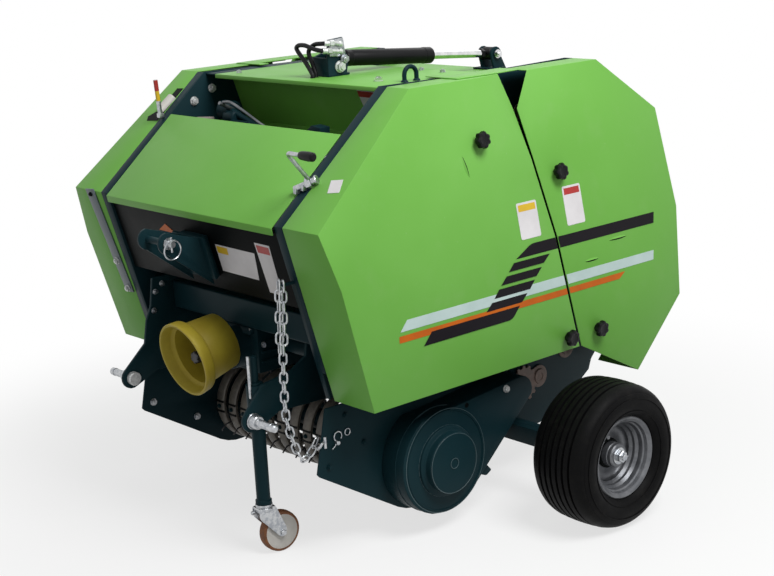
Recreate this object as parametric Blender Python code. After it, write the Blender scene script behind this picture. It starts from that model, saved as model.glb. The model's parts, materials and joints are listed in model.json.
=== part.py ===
"""Small round baler for a three-point hitch, parked on its jack.

Metres, +Z up. +X is the machine's left side, its front and hitch face -Y.
Outlines are lists of (y, z) points of the side view, measured from the ground
below the tailgate's pivot; the machine then stands on an empty that puts the
origin on the ground under the middle of its length and width.
"""
from math import asin, cos, degrees, sin, radians, pi

import bpy
import bmesh
from mathutils import Matrix, Vector

GAP = 0.0003            # between faces that touch
RUN = 0.006             # between faces that move past each other

# --- sheet metal ------------------------------------------------------------
GUARD_SHEET = 0.0025
COVER_SHEET = 0.003
PLATE = 0.006           # chamber side plates

# --- bale chamber -----------------------------------------------------------
CHAMBER_HALF = 0.400    # inner half width between the side plates
BALE_Y, BALE_Z = 0.160, 0.703
ROLLER_R = 0.060
ROLLER_CIRCLE = 0.415   # radius of the circle on which the rollers lie
ROLLER_CLEAR = 0.017    # between neighbouring rollers
ROLLER_STEP = degrees(2 * asin((ROLLER_R + ROLLER_CLEAR / 2) / ROLLER_CIRCLE))
STRIP, STRIP_T = 0.034, 0.004   # folded strips along the side plates' edges

# --- side guards ------------------------------------------------------------
CREASE_HALF = 0.608     # half width at the horizontal crease
CREASE_Z = 0.783
LEAN_UP, LEAN_DOWN = 0.190, 0.031
FLANGE_X = CHAMBER_HALF + STRIP + 0.001     # inner edge of the folded flanges
TOP_Z = 1.242
SPLIT = 0.008           # gap between front and rear guard
BEND_INWARD = 0.16      # slope of the front guard's bent rear corner
FRONT_TOP = (-0.2765, TOP_Z)
FRONT_NOSE = (-0.649, 0.931)
FRONT_LOW = (-0.516, 0.441)
SPLIT_LOW = (0.265, 0.441)
SPLIT_CREASE = (0.164, CREASE_Z)
SPLIT_BEND = (0.1215, 1.004)
SPLIT_HIGH = (0.091, 1.145)
CORNER_TOP = (0.060, TOP_Z)
BEND_TOP = (-0.035, TOP_Z)
REAR_TOP_FRONT = (0.160, TOP_Z)
REAR_TOP_BACK = (0.445, TOP_Z)
REAR_HIGH = (0.6685, 1.077)
REAR_LOW = (0.7195, 0.505)
REAR_BOTTOM = (0.527, 0.306)

# --- tailgate ---------------------------------------------------------------
PIVOT_Y, PIVOT_Z = 0.000, 1.195
PIVOT_PIN_R = 0.016
LUG_R = 0.038
LUG = 0.008
GATE_COVER_Z = 1.188    # the gate's cover lies lower than its sides
GATE_COVER_Y = 0.130
GATE_Y = 0.166          # front edge of the gate's side plates
GATE_LOW = ((0.205, 0.160), (0.290, 0.160), (0.400, 0.200), (0.515, 0.275))     # skirt under the rollers

# --- frame ------------------------------------------------------------------
BEAM_Y, BEAM_Z, BEAM = -0.480, 0.620, 0.080
PANEL_LOW_Z, PANEL_HIGH_Z = 0.700, 0.912
COVER_HALF = CHAMBER_HALF - 0.004
TOP_SHEET_BACK = 0.092
TOP_FLANGE_X = 0.348    # inner edge of the right side plate's top flange
TWINE_FLOOR = ((-0.470, 0.900), (-0.245, 1.015))
COVER_TOP_Y, COVER_LIP = -0.410, 0.020

# --- hitch, to category 1 ---------------------------------------------------
HITCH_HALF, HITCH_PLATE = 0.301, 0.010
HITCH_Y, HITCH_Z = -0.688, 0.401
HITCH_PIN_R, HITCH_PIN_OUT = 0.011, 0.105
TOP_LINK_Y, TOP_LINK_Z = -0.744, 0.858
TOP_LINK_HALF, TOP_LINK_PLATE, TOP_LINK_EAR = 0.045, 0.008, 0.030
TOP_LINK_LOW, TOP_LINK_HIGH, TOP_LINK_PAD = 0.740, 0.860, 0.018

# --- drive ------------------------------------------------------------------
PTO_Z = 0.511
BOSS_Y = -0.543          # end of the gearbox's input boss
PTO_GUARD_AT, PTO_GUARD_TILT = (-0.560, 0.540), 11.5     # the guard droops over the shaft
PTO_GUARD_LENGTH, PTO_FLANGE = 0.140, 0.032
PTO_GUARD_R, PTO_FLANGE_R, PTO_WALL = 0.082, 0.108, 0.004
PTO_SHAFT_R = 0.0175
GEARBOX_HALF = 0.085

# --- wheels -----------------------------------------------------------------
WHEEL_Y, TYRE_R, TYRE_W = 0.135, 0.205, 0.200
TYRE_CLEAR = 0.086      # from the crease of the guards to the tyre
TYRE_X = CREASE_HALF + TYRE_CLEAR + TYRE_W / 2
RIM_R, BEAD_R = 0.116, 0.103
STUB_R = 0.020
AXLE, AXLE_TOP = 0.050, 0.218

# --- pickup -----------------------------------------------------------------
REEL_Y, REEL_Z, TINE_R, BAND_R = -0.205, 0.207, 0.172, 0.132
PICKUP_PIVOT_Y, PICKUP_PIVOT_Z = 0.056, 0.333
PICKUP_X, PICKUP_PLATE = CHAMBER_HALF + PLATE + 0.018, 0.006
BAND_HALF, BAND_COUNT, BAND_W, BAND_T = CHAMBER_HALF - 0.028, 13, 0.038, 0.005
TINE_ROWS, TINE = 4, 0.006
DRIVE_X = PICKUP_X + PICKUP_PLATE + 0.002
DRIVE_W, DRIVE_R, DOME_R = 0.088, 0.150, 0.087

# --- jack -------------------------------------------------------------------
JACK_Y, JACK_R, JACK_NECK_R = -0.648, 0.019, 0.0105
JACK_TOP, JACK_NECK, JACK_LOW = 0.563, 0.492, 0.148
SLEEVE_WALL, SLEEVE_LOW, SLEEVE = 0.005, 0.400, 0.086
JACK_X = HITCH_HALF - HITCH_PLATE - SLEEVE_WALL - JACK_R - 0.001 - GAP
CASTER_R, CASTER_W, CASTER_TRAIL = 0.0575, 0.030, 0.042
CASTER_TURN = -6.0      # degrees, how the caster happens to stand

# --- hydraulic cylinder -----------------------------------------------------
CYL_X = 0.040
CYL_FRONT = (-0.125, 1.285)
CYL_REAR = (0.494, 1.236)
BARREL_R, ROD_R, BARREL_LEN = 0.024, 0.012, 0.370
CYL_PIN_R, EAR_GAP, EAR = 0.009, 0.022, 0.008
HOSE_R = 0.0065

# --- small pieces on the frame ----------------------------------------------
LIFT_X, LIFT_Y, LIFT_R, LIFT_BAR = CHAMBER_HALF - 0.024, -0.140, 0.022, 0.006
INDICATOR_X = -(CHAMBER_HALF + 0.024)
INDICATOR_Y, INDICATOR_TOP, INDICATOR_R = -0.428, 1.235, 0.006
INDICATOR_LEAN = 0.008
CHAIN_X, CHAIN_R = CHAMBER_HALF + 0.012, 0.006
CHAIN_ROUTE = ((-0.640, 0.775), (-0.650, 0.608), (-0.656, 0.447), (-0.645, 0.380),
               (-0.622, 0.314), (-0.603, 0.297), (-0.580, 0.310), (-0.566, 0.332))
CRANK_ARM, CRANK_GRIP, CRANK_R = 0.110, 0.105, 0.006


def clear_scene():
    for thing in list(bpy.data.objects):
        bpy.data.objects.remove(thing, do_unlink=True)


def paint(name, colour, roughness, metallic=0.0):
    mat = bpy.data.materials.new(name)
    mat.use_nodes = True
    shader = mat.node_tree.nodes["Principled BSDF"]
    shader.inputs["Base Color"].default_value = (*colour, 1.0)
    shader.inputs["Roughness"].default_value = roughness
    shader.inputs["Metallic"].default_value = metallic
    return mat


def make_object(name, bm, mat, smooth_angle=None):
    """Closes a bmesh into an object of its own."""
    bmesh.ops.remove_doubles(bm, verts=bm.verts, dist=1e-6)
    bmesh.ops.recalc_face_normals(bm, faces=bm.faces)
    mesh = bpy.data.meshes.new(name)
    bm.to_mesh(mesh)
    bm.free()
    mesh.materials.append(mat)
    if smooth_angle:
        mesh.shade_smooth()
        mesh.set_sharp_from_angle(angle=radians(smooth_angle))
    thing = bpy.data.objects.new(name, mesh)
    bpy.context.scene.collection.objects.link(thing)
    return thing


def prism(name, outline, x0, x1, mat):
    """A plate: the (y, z) outline drawn out from x0 to x1."""
    bm = bmesh.new()
    face = bm.faces.new([bm.verts.new((x0, y, z)) for y, z in outline])
    grown = bmesh.ops.extrude_face_region(bm, geom=[face])["geom"]
    moved = [v for v in grown if isinstance(v, bmesh.types.BMVert)]
    bmesh.ops.translate(bm, verts=moved, vec=(x1 - x0, 0, 0))
    return make_object(name, bm, mat)


def box(name, low, high, mat):
    outline = [(low[1], low[2]), (high[1], low[2]), (high[1], high[2]), (low[1], high[2])]
    return prism(name, outline, low[0], high[0], mat)


def turned(name, profile, centre, axis, mat, steps=32, smooth_angle=40):
    """Turns (along, radius) points about an axis through centre."""
    bm = bmesh.new()
    frame = Vector(axis).to_track_quat('Z', 'X').to_matrix().to_4x4()
    frame.translation = Vector(centre)
    rings = []
    for along, radius in profile:
        if radius < 1e-6:
            rings.append([bm.verts.new(frame @ Vector((0, 0, along)))])
            continue
        turn = [2 * pi * i / steps for i in range(steps)]
        rings.append([bm.verts.new(frame @ Vector((radius * cos(a), radius * sin(a), along))) for a in turn])
    hollow = min(radius for _, radius in profile) > 1e-6
    pairs = list(zip(rings, rings[1:] + rings[:1] if hollow else rings[1:]))
    for ring, after in pairs:
        for i in range(steps):
            j = (i + 1) % steps
            corners = [ring[i % len(ring)], ring[j % len(ring)], after[j % len(after)], after[i % len(after)]]
            corners = list(dict.fromkeys(corners))
            if len(corners) > 2:
                bm.faces.new(corners)
    return make_object(name, bm, mat, smooth_angle)


def rod(name, start, end, radius, mat, steps=20):
    run = Vector(end) - Vector(start)
    profile = [(0, 0), (0, radius), (run.length, radius), (run.length, 0)]
    return turned(name, profile, start, run, mat, steps)


def boolean(target, tool, operation):
    """Applies one exact Boolean and removes the tool."""
    step = target.modifiers.new(operation, 'BOOLEAN')
    step.operation = operation
    step.solver = 'EXACT'
    step.object = tool
    graph = bpy.context.evaluated_depsgraph_get()
    result = bpy.data.meshes.new_from_object(target.evaluated_get(graph))
    target.modifiers.clear()
    target.data = result
    bpy.data.objects.remove(tool, do_unlink=True)
    return target


def join(target, *pieces):
    for piece in pieces:
        boolean(target, piece, 'UNION')
    return target


def cut(target, *pieces):
    for piece in pieces:
        boolean(target, piece, 'DIFFERENCE')
    return target


def solid_sheet(name, corners, panels, thickness, mat):
    """Faces over named corners, thickened towards their inner side."""
    bm = bmesh.new()
    verts = {key: bm.verts.new(place) for key, place in corners.items()}
    for panel in panels:
        bm.faces.new([verts[key] for key in panel])
    bmesh.ops.recalc_face_normals(bm, faces=bm.faces)
    outward = sum((f.normal.x * f.calc_center_median().x for f in bm.faces), 0.0)
    if outward < 0:
        bmesh.ops.reverse_faces(bm, faces=bm.faces)
    mesh = bpy.data.meshes.new(name)
    bm.to_mesh(mesh)
    bm.free()
    mesh.materials.append(mat)
    thing = bpy.data.objects.new(name, mesh)
    bpy.context.scene.collection.objects.link(thing)
    wall = thing.modifiers.new("wall", 'SOLIDIFY')
    wall.thickness = thickness
    wall.offset = -1
    wall.use_even_offset = True
    return thing


def arc(centre, radius, start, end, steps):
    """(y, z) points along an arc, angles in degrees from +Y towards +Z."""
    angles = [radians(start + (end - start) * i / steps) for i in range(steps + 1)]
    return [(centre[0] + radius * cos(a), centre[1] + radius * sin(a)) for a in angles]


def between(a, b, share):
    return (a[0] + (b[0] - a[0]) * share, a[1] + (b[1] - a[1]) * share)


def at_height(a, b, z):
    return between(a, b, (z - a[1]) / (b[1] - a[1]))


def guard_x(z):
    lean = LEAN_UP * (z - CREASE_Z) if z > CREASE_Z else LEAN_DOWN * (CREASE_Z - z)
    return CREASE_HALF - lean


def shifted(point, dy, dz=0.0):
    return (point[0] + dy, point[1] + dz)


def strip_along(a, b, x0, x1, thickness, inward, name, mat):
    """A flat strip on the line a-b, thickened towards the side that inward points to."""
    run = Vector((b[0] - a[0], b[1] - a[1])).normalized()
    normal = Vector((-run.y, run.x))
    if normal.dot(Vector(inward)) < 0:
        normal = -normal
    off = normal * thickness
    outline = [a, b, (b[0] + off.x, b[1] + off.y), (a[0] + off.x, a[1] + off.y)]
    return prism(name, outline, x0, x1, mat)


# ---------------------------------------------------------------------------
def front_guard(name, side, mat):
    """Flat guard with a crease, folded flanges and one corner bent inward."""
    nose_crease = at_height(FRONT_NOSE, FRONT_LOW, CREASE_Z)
    run = Vector((SPLIT_BEND[0] - BEND_TOP[0], SPLIT_BEND[1] - BEND_TOP[1])).normalized()

    def bent(point):
        away = (point[0] - BEND_TOP[0]) * -run.y + (point[1] - BEND_TOP[1]) * run.x
        return guard_x(point[1]) - BEND_INWARD * abs(away)

    places = {"top": FRONT_TOP, "nose": FRONT_NOSE, "crease": nose_crease, "low": FRONT_LOW,
              "back_low": SPLIT_LOW, "back_crease": SPLIT_CREASE, "bend": SPLIT_BEND,
              "bend_top": BEND_TOP}
    corners = {key: (side * guard_x(p[1]), *p) for key, p in places.items()}
    corners["high"] = (side * bent(SPLIT_HIGH), *SPLIT_HIGH)
    corners["corner"] = (side * bent(CORNER_TOP), *CORNER_TOP)
    for key in ("top", "nose", "low", "corner"):
        corners[key + "_in"] = (side * FLANGE_X, *corners[key][1:])
    panels = [("top", "nose", "crease", "back_crease", "bend", "bend_top"),
              ("crease", "low", "back_low", "back_crease"),
              ("bend_top", "bend", "high", "corner"),
              ("top", "top_in", "nose_in", "nose"),
              ("nose", "nose_in", "low_in", "low", "crease"),
              ("top", "bend_top", "corner", "corner_in", "top_in")]
    return solid_sheet(name, corners, panels, GUARD_SHEET, mat)


def rear_guard(name, side, mat):
    rear_crease = at_height(REAR_HIGH, REAR_LOW, CREASE_Z)
    places = {"front": REAR_TOP_FRONT, "back": REAR_TOP_BACK, "high": REAR_HIGH,
              "crease": rear_crease, "low": REAR_LOW, "bottom": REAR_BOTTOM,
              "split_low": shifted(SPLIT_LOW, SPLIT), "split_crease": shifted(SPLIT_CREASE, SPLIT),
              "split_bend": shifted(SPLIT_BEND, SPLIT), "split_high": shifted(SPLIT_HIGH, SPLIT)}
    corners = {key: (side * guard_x(p[1]), *p) for key, p in places.items()}
    for key in ("front", "back", "high", "low", "bottom"):
        corners[key + "_in"] = (side * FLANGE_X, *places[key])
    panels = [("split_high", "split_bend", "split_crease", "crease", "high", "back", "front"),
              ("split_crease", "split_low", "bottom", "low", "crease"),
              ("front", "back", "back_in", "front_in"),
              ("back", "high", "high_in", "back_in"),
              ("high", "crease", "low", "low_in", "high_in"),
              ("low", "bottom", "bottom_in", "low_in")]
    return solid_sheet(name, corners, panels, GUARD_SHEET, mat)


def frame_side(name, side, mat):
    """Front half of the chamber side: plate, strips, pins of gate and pickup, chain tab on the left."""
    inner, outer = side * CHAMBER_HALF, side * (CHAMBER_HALF + PLATE)
    edge = side * (CHAMBER_HALF + STRIP)
    low_edge = side * (CHAMBER_HALF + STRIP / 2)
    knee = at_height(FRONT_NOSE, FRONT_LOW, 0.52)
    rear = GATE_Y - RUN
    outline = [FRONT_TOP, FRONT_NOSE, FRONT_LOW, (-0.100, 0.418), (-0.055, 0.300), (-0.015, AXLE_TOP + GAP),
               (rear, AXLE_TOP + GAP), (rear, PIVOT_Z), (rear - 0.010, TOP_Z - 0.006)]
    plate = prism(name, outline, inner, outer, mat)
    strips = [strip_along(FRONT_TOP, FRONT_NOSE, inner, edge, STRIP_T, (1, -1), name + "_a", mat),
              strip_along(FRONT_NOSE, knee, inner, edge, STRIP_T, (1, 0), name + "_b", mat),
              strip_along(knee, FRONT_LOW, inner, low_edge, STRIP_T, (1, 0), name + "_c", mat)]
    pins = [rod(name + "_p", (side * (CHAMBER_HALF + 0.001), PIVOT_Y, PIVOT_Z),
                (side * (CHAMBER_HALF + 0.024), PIVOT_Y, PIVOT_Z), PIVOT_PIN_R, mat),
            rod(name + "_q", (side * (CHAMBER_HALF + 0.001), PICKUP_PIVOT_Y, PICKUP_PIVOT_Z),
                (side * (PICKUP_X + PICKUP_PLATE + 0.004), PICKUP_PIVOT_Y, PICKUP_PIVOT_Z),
                PIVOT_PIN_R, mat)]
    if side < 0:
        low, high = TOP_Z - 0.008, TOP_Z - 0.004
        pins.append(box("top_flange", (inner - 0.001, FRONT_TOP[0] + 0.006, low),
                        (-TOP_FLANGE_X, TOP_SHEET_BACK, high), mat))
    if side > 0:
        y, z = CHAIN_ROUTE[0]
        pins.append(box("chain_tab", (CHAIN_X - CHAIN_R, y - CHAIN_R, z + 0.0007),
                        (CHAIN_X + CHAIN_R, at_height(FRONT_NOSE, FRONT_LOW, z)[0] + 0.002, z + 0.0067), mat))
    return join(plate, *strips, *pins)


def gate_side(name, side, mat):
    """Rear half of the chamber side, with the lug that turns on the frame's pin."""
    inner, outer = side * CHAMBER_HALF, side * (CHAMBER_HALF + PLATE)
    lug_in = side * (CHAMBER_HALF + PLATE + 2 * GAP)
    lug_out = side * (CHAMBER_HALF + PLATE + 2 * GAP + LUG)
    outline = [(GATE_Y, TOP_Z - 0.004), (GATE_Y, 0.195), *GATE_LOW, REAR_BOTTOM, REAR_LOW, REAR_HIGH, REAR_TOP_BACK]
    plate = prism(name, outline, inner, outer, mat)
    strips = [strip_along(a, b, inner, side * (CHAMBER_HALF + STRIP), STRIP_T, (-1, 0), name + "_s", mat)
              for a, b in ((REAR_TOP_BACK, REAR_HIGH), (REAR_HIGH, REAR_LOW))]
    ring = arc((PIVOT_Y, PIVOT_Z), LUG_R, 90, 270, 8)
    lug = prism(name + "_l", ring + [(0.240, 1.080), (0.330, 1.130), (0.290, 1.225)], lug_in, lug_out, mat)
    pad = prism(name + "_m", [(0.190, 1.115), (0.240, 1.098), (0.300, 1.135), (0.270, 1.215), (0.190, 1.220)],
                inner + side * 0.001, lug_out - side * 0.001, mat)
    hole = rod(name + "_h", (lug_in - side * 0.01, PIVOT_Y, PIVOT_Z),
               (lug_out + side * 0.01, PIVOT_Y, PIVOT_Z), PIVOT_PIN_R + 0.001, mat)
    cut(lug, hole)
    return join(plate, *strips, join(pad, lug))


def roller_angles(first, last):
    """As many rollers as their spacing lets in, from the first angle up to the last."""
    return [first + ROLLER_STEP * i for i in range(int((last - first) / ROLLER_STEP + 0.01) + 1)]


def roller_bed(name, angles, mat):
    """Chamber rollers carried by an arched bearing strip at each end."""
    length = CHAMBER_HALF - GAP * 2
    parts = []
    for angle in angles:
        y, z = arc((BALE_Y, BALE_Z), ROLLER_CIRCLE, angle, angle, 1)[0]
        parts.append(rod(name + "_r", (-length, y, z), (length, y, z), ROLLER_R, mat, 14))
    low, high = min(angles), max(angles)
    steps = max(2, len(angles) - 1)
    outer = arc((BALE_Y, BALE_Z), ROLLER_CIRCLE + 0.012, low, high, steps)
    inner = arc((BALE_Y, BALE_Z), ROLLER_CIRCLE - 0.012, high, low, steps)
    for side in (1, -1):
        parts.append(prism(name + "_s", outer + inner, side * (length - 0.002), side * (length - 0.008), mat))
    bed = join(*parts)
    bed.name = name
    return bed


def slant(y):
    """Height of the slanted front face at y."""
    return at_height((FRONT_TOP[1], FRONT_TOP[0]), (FRONT_NOSE[1], FRONT_NOSE[0]), y)[0]


def front_cover(mat):
    """Sloped cover with a lip folded down along its lower edge."""
    low_y = FRONT_NOSE[0] - 0.006
    low_z = slant(low_y)
    line = [(COVER_TOP_Y, slant(COVER_TOP_Y) + 0.002), (low_y, low_z), (low_y + 0.004, low_z - COVER_LIP)]
    return folded("front_cover", line, COVER_HALF, COVER_SHEET, mat)


def folded(name, line, half, thickness, mat):
    """A sheet across the machine that follows a line of (y, z) points; its first panel faces up."""
    corners = {(i, side): (side * half, *p) for i, p in enumerate(line) for side in (1, -1)}
    panels = [((i, 1), (i, -1), (i + 1, -1), (i + 1, 1)) for i in range(len(line) - 1)]
    thing = solid_sheet(name, corners, panels, thickness, mat)
    if thing.data.polygons[0].normal.z < 0:
        thing.data.flip_normals()
    return thing


def top_sheet(mat):
    line = [(TOP_SHEET_BACK, TOP_Z - 0.004), (FRONT_TOP[0] + 0.002, TOP_Z - 0.004),
            (FRONT_TOP[0] + 0.002, TOP_Z - 0.016)]
    sheet = folded("top_sheet", line, COVER_HALF, COVER_SHEET, mat)
    edge = TOP_FLANGE_X - GAP
    for v in sheet.data.vertices:
        if v.co.x < 0:
            v.co.x = -edge
    return sheet


def twine_box(mat):
    """Trough behind the cover: its floor rises over the rollers to a back wall under the top sheet."""
    over_rollers = arc((BALE_Y, BALE_Z), ROLLER_CIRCLE + ROLLER_R + 0.0037, 128, 128, 1)[:1]
    line = [*TWINE_FLOOR, *over_rollers, (-0.185, TOP_Z - 0.009)]
    return folded("twine_box", line, COVER_HALF, COVER_SHEET, mat)


def floor_block(name, x0, x1, y0, y1, top, mat):
    """A block that stands on the twine box's sloping floor."""
    low, high = TWINE_FLOOR
    base = low[1] + (high[1] - low[1]) * (y1 - low[0]) / (high[0] - low[0]) + GAP
    return box(name, (x0, y0, base), (x1, y1, top), mat)


def slab(name, outline, z0, z1, mat):
    """A flat piece: the (x, y) outline drawn up from z0 to z1."""
    bm = bmesh.new()
    face = bm.faces.new([bm.verts.new((x, y, z0)) for x, y in outline])
    grown = bmesh.ops.extrude_face_region(bm, geom=[face])["geom"]
    moved = [v for v in grown if isinstance(v, bmesh.types.BMVert)]
    bmesh.ops.translate(bm, verts=moved, vec=(0, 0, z1 - z0))
    return make_object(name, bm, mat)


def hinge_cover(name, side, mat):
    """Sheet tongue over the gap above the tailgate hinge, outboard of the hinge arm."""
    outline = [(-0.025, -0.085), (0.100, -0.085), (0.106, 0.030), (0.100, 0.150), (0.026, 0.150),
               (0.026, -0.052), (-0.025, -0.052)]
    z0 = TOP_Z + GAP
    return slab(name, [(side * (CHAMBER_HALF + x), y) for x, y in outline], z0, z0 + COVER_SHEET, mat)


def front_panel(mat):
    """Flat plate under the cover, between the side plates."""
    high = at_height(FRONT_NOSE, FRONT_LOW, PANEL_HIGH_Z)
    low = at_height(FRONT_NOSE, FRONT_LOW, PANEL_LOW_Z)
    high, low = shifted(high, 0.008), shifted(low, 0.008)
    half = CHAMBER_HALF - GAP
    return strip_along(high, low, -half, half, 0.005, (1, 0), "front_panel", mat)


def frame_beam(mat):
    """Square cross beam between the side plates."""
    half = CHAMBER_HALF - GAP
    h = BEAM / 2
    return box("frame_beam", (-half, BEAM_Y - h, BEAM_Z - h), (half, BEAM_Y + h, BEAM_Z + h), mat)


def hitch_plate(name, side, mat):
    """Lower hitch arm: plate bolted under the beam, with its pin pointing outward."""
    x0, x1 = side * (HITCH_HALF - HITCH_PLATE), side * HITCH_HALF
    tip = arc((HITCH_Y, HITCH_Z), 0.032, 130, 300, 8)
    top, under = BEAM_Z + 0.06, BEAM_Z - BEAM / 2 - GAP
    if side > 0:
        front = [(-0.4395, top), (-0.4395, under), (-0.492, under), (-0.499, 0.535), (-0.548, 0.507),
                 (-0.600, 0.498), (-0.648, 0.491)]
    else:
        front = [(-0.590, top), (-0.602, 0.600), (-0.621, 0.560), (-0.634, 0.492)]
    outline = front + tip + [(-0.600, 0.405), (-0.440, 0.400), (-0.425, 0.470), (-0.4275, top)]
    plate = prism(name, outline, x0, x1, mat)
    h = BEAM / 2 + GAP
    slot = box(name + "_c", (x0 - side * 0.01, BEAM_Y - h, BEAM_Z - h),
               (x1 + side * 0.01, BEAM_Y + h, BEAM_Z + h), mat)
    cut(plate, slot)
    pin = turned(name + "_p", [(0, 0), (0, 0.017), (0.024, 0.017), (0.024, HITCH_PIN_R),
                               (HITCH_PIN_OUT - 0.004, HITCH_PIN_R), (HITCH_PIN_OUT, HITCH_PIN_R - 0.004),
                               (HITCH_PIN_OUT, 0)],
                 (side * (HITCH_HALF - 0.004), HITCH_Y, HITCH_Z), (side, 0, 0), mat, 20)
    return join(plate, pin)


def top_link_bracket(mat):
    """Two plates with a cross pin, on a base against the front panel."""
    def panel(z, off):
        return shifted(at_height(FRONT_NOSE, FRONT_LOW, z), 0.008 - GAP - off)

    pad = TOP_LINK_PAD
    clear = panel(TOP_LINK_HIGH, 0), panel(TOP_LINK_LOW, 0)
    base = strip_along(*clear, -0.058, 0.058, pad, (-1, 0), "top_link_bracket", mat)
    front = panel(TOP_LINK_HIGH, pad - 0.001), panel(TOP_LINK_LOW, pad - 0.001)
    plate = strip_along(*front, -0.075, 0.075, 0.010, (-1, 0), "plate", mat)
    ear = arc((TOP_LINK_Y, TOP_LINK_Z), TOP_LINK_EAR, 100, 260, 8)
    outline = ear + [panel(TOP_LINK_LOW - 0.022, pad + 0.004), panel(TOP_LINK_HIGH - 0.006, pad + 0.004)]
    parts = [prism("ear", outline, side * TOP_LINK_HALF, side * (TOP_LINK_HALF + TOP_LINK_PLATE), mat)
             for side in (1, -1)]
    reach = TOP_LINK_HALF + 0.030
    parts.append(rod("pin", (-reach, TOP_LINK_Y, TOP_LINK_Z), (reach, TOP_LINK_Y, TOP_LINK_Z), 0.0095, mat))
    return join(base, plate, *parts)


def gearbox(mat):
    """Bevel gearbox under the beam, with the boss of its input shaft."""
    h = GEARBOX_HALF
    body = box("gearbox", (-h, -0.500, PTO_Z - 0.068), (h, -0.330, BEAM_Z - BEAM / 2 - GAP), mat)
    boss = rod("boss", (0, -0.490, PTO_Z), (0, BOSS_Y, PTO_Z), 0.060, mat, 28)
    side_boss = rod("side", (h - 0.01, -0.385, PTO_Z), (CHAMBER_HALF - GAP, -0.385, PTO_Z), 0.030, mat)
    return join(body, boss, side_boss)


def pto_guard(mat):
    """Funnel guard: drum with a wider collar at its open front, closed behind."""
    tilt = radians(PTO_GUARD_TILT)
    run = (0, -cos(tilt), -sin(tilt))
    flange, full, wall = PTO_GUARD_LENGTH - PTO_FLANGE, PTO_GUARD_LENGTH, PTO_WALL
    profile = [(0, 0), (0, PTO_GUARD_R), (flange - 0.004, PTO_GUARD_R + 0.010),
               (flange, PTO_FLANGE_R - 0.003), (full - 0.006, PTO_FLANGE_R),
               (full, PTO_FLANGE_R - 0.004), (full, PTO_FLANGE_R - 0.012),
               (flange + 0.002, PTO_FLANGE_R - 0.014), (flange - 0.006, PTO_GUARD_R + 0.010 - wall),
               (wall, PTO_GUARD_R - wall), (wall, 0)]
    guard = turned("pto_guard", profile, (0, *PTO_GUARD_AT), run, mat, 28)
    bore = rod("bore", (0, PTO_GUARD_AT[0] + 0.04, PTO_Z), (0, PTO_GUARD_AT[0] - 0.03, PTO_Z), 0.026, mat)
    return cut(guard, bore)


def pto_shaft(mat):
    """Splined input stub, drawn as a plain shaft with its ring groove."""
    r = PTO_SHAFT_R
    profile = [(0, 0), (0, 0.022), (0.020, 0.022), (0.020, r), (0.080, r), (0.082, r - 0.003),
               (0.090, r - 0.003), (0.092, r), (0.113, r), (0.116, r - 0.003), (0.116, 0)]
    return turned("pto_shaft", profile, (0, BOSS_Y - GAP, PTO_Z), (0, -1, 0), mat, 24)


def axle_beam(mat):
    """Cross beam under the chamber with uprights to the side plates and wheel stubs."""
    half = TYRE_X - TYRE_W / 2 - 0.045
    low, high = AXLE_TOP - AXLE, AXLE_TOP
    beam = box("axle_beam", (-half, WHEEL_Y - AXLE / 2, low), (half, WHEEL_Y + AXLE / 2, high), mat)
    outline = [(0.112, high - 0.02), (0.156, high - 0.02), (0.152, 0.300), (0.128, 0.300), (0.112, 0.260)]
    hanger = [(WHEEL_Y + y, TYRE_R + z) for y, z in ((-0.048, -0.020), (-0.030, -0.046), (0.030, -0.046),
                                                     (0.048, -0.020), (0.048, 0.018), (0.030, 0.040),
                                                     (-0.030, 0.040), (-0.048, 0.018))]
    parts = []
    for side in (1, -1):
        inner = side * (CHAMBER_HALF + PLATE + GAP)
        parts.append(prism("upright", outline, inner, inner + side * 0.010, mat))
        parts.append(prism("hanger", hanger, side * (half - 0.012), side * half, mat))
        parts.append(rod("stub", (side * (half - 0.006), WHEEL_Y, TYRE_R),
                         (side * (TYRE_X + 0.012), WHEEL_Y, TYRE_R), STUB_R, mat))
    return join(beam, *parts)


def tyre(name, side, mat):
    """Implement tyre: rounded shoulders, open bore for the rim."""
    w, r = TYRE_W / 2, TYRE_R
    half = [(-w + 0.030, BEAD_R + 2 * GAP), (-w + 0.030, RIM_R + 0.002), (-w + 0.010, RIM_R + 0.012),
            (-w, r - 0.060), (-w + 0.006, r - 0.030), (-w + 0.030, r - 0.006), (-w + 0.060, r)]
    profile = half + [(-along, radius) for along, radius in reversed(half)]
    return turned(name, profile, (side * TYRE_X, WHEEL_Y, TYRE_R), (side, 0, 0), mat, 32)


def rim(name, side, mat):
    """Pressed rim with a dished disc and its hub, bored for the axle stub."""
    w = TYRE_W / 2
    outer = [(-w + 0.022, RIM_R), (-w + 0.029, RIM_R), (-w + 0.0297, BEAD_R), (w - 0.0297, BEAD_R),
             (w - 0.029, RIM_R), (w - 0.022, RIM_R), (w - 0.022, BEAD_R - 0.004), (w - 0.060, BEAD_R - 0.010),
             (0.030, 0.082), (0.010, 0.060)]
    inner = [(0.000, 0.060), (0.016, 0.086), (-w + 0.050, BEAD_R - 0.008), (-w + 0.022, BEAD_R - 0.004)]
    profile = outer + [(0.010, 0.036), (0.052, 0.034), (0.060, 0.026), (0.060, 0)]
    back = [(0.016, 0), (0.016, STUB_R + 0.0015), (-0.075, STUB_R + 0.0015), (-0.075, 0.034), (0.000, 0.036)]
    return turned_solid(name, profile, back + inner, (side * TYRE_X, WHEEL_Y, TYRE_R), (side, 0, 0), mat, 24)


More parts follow.
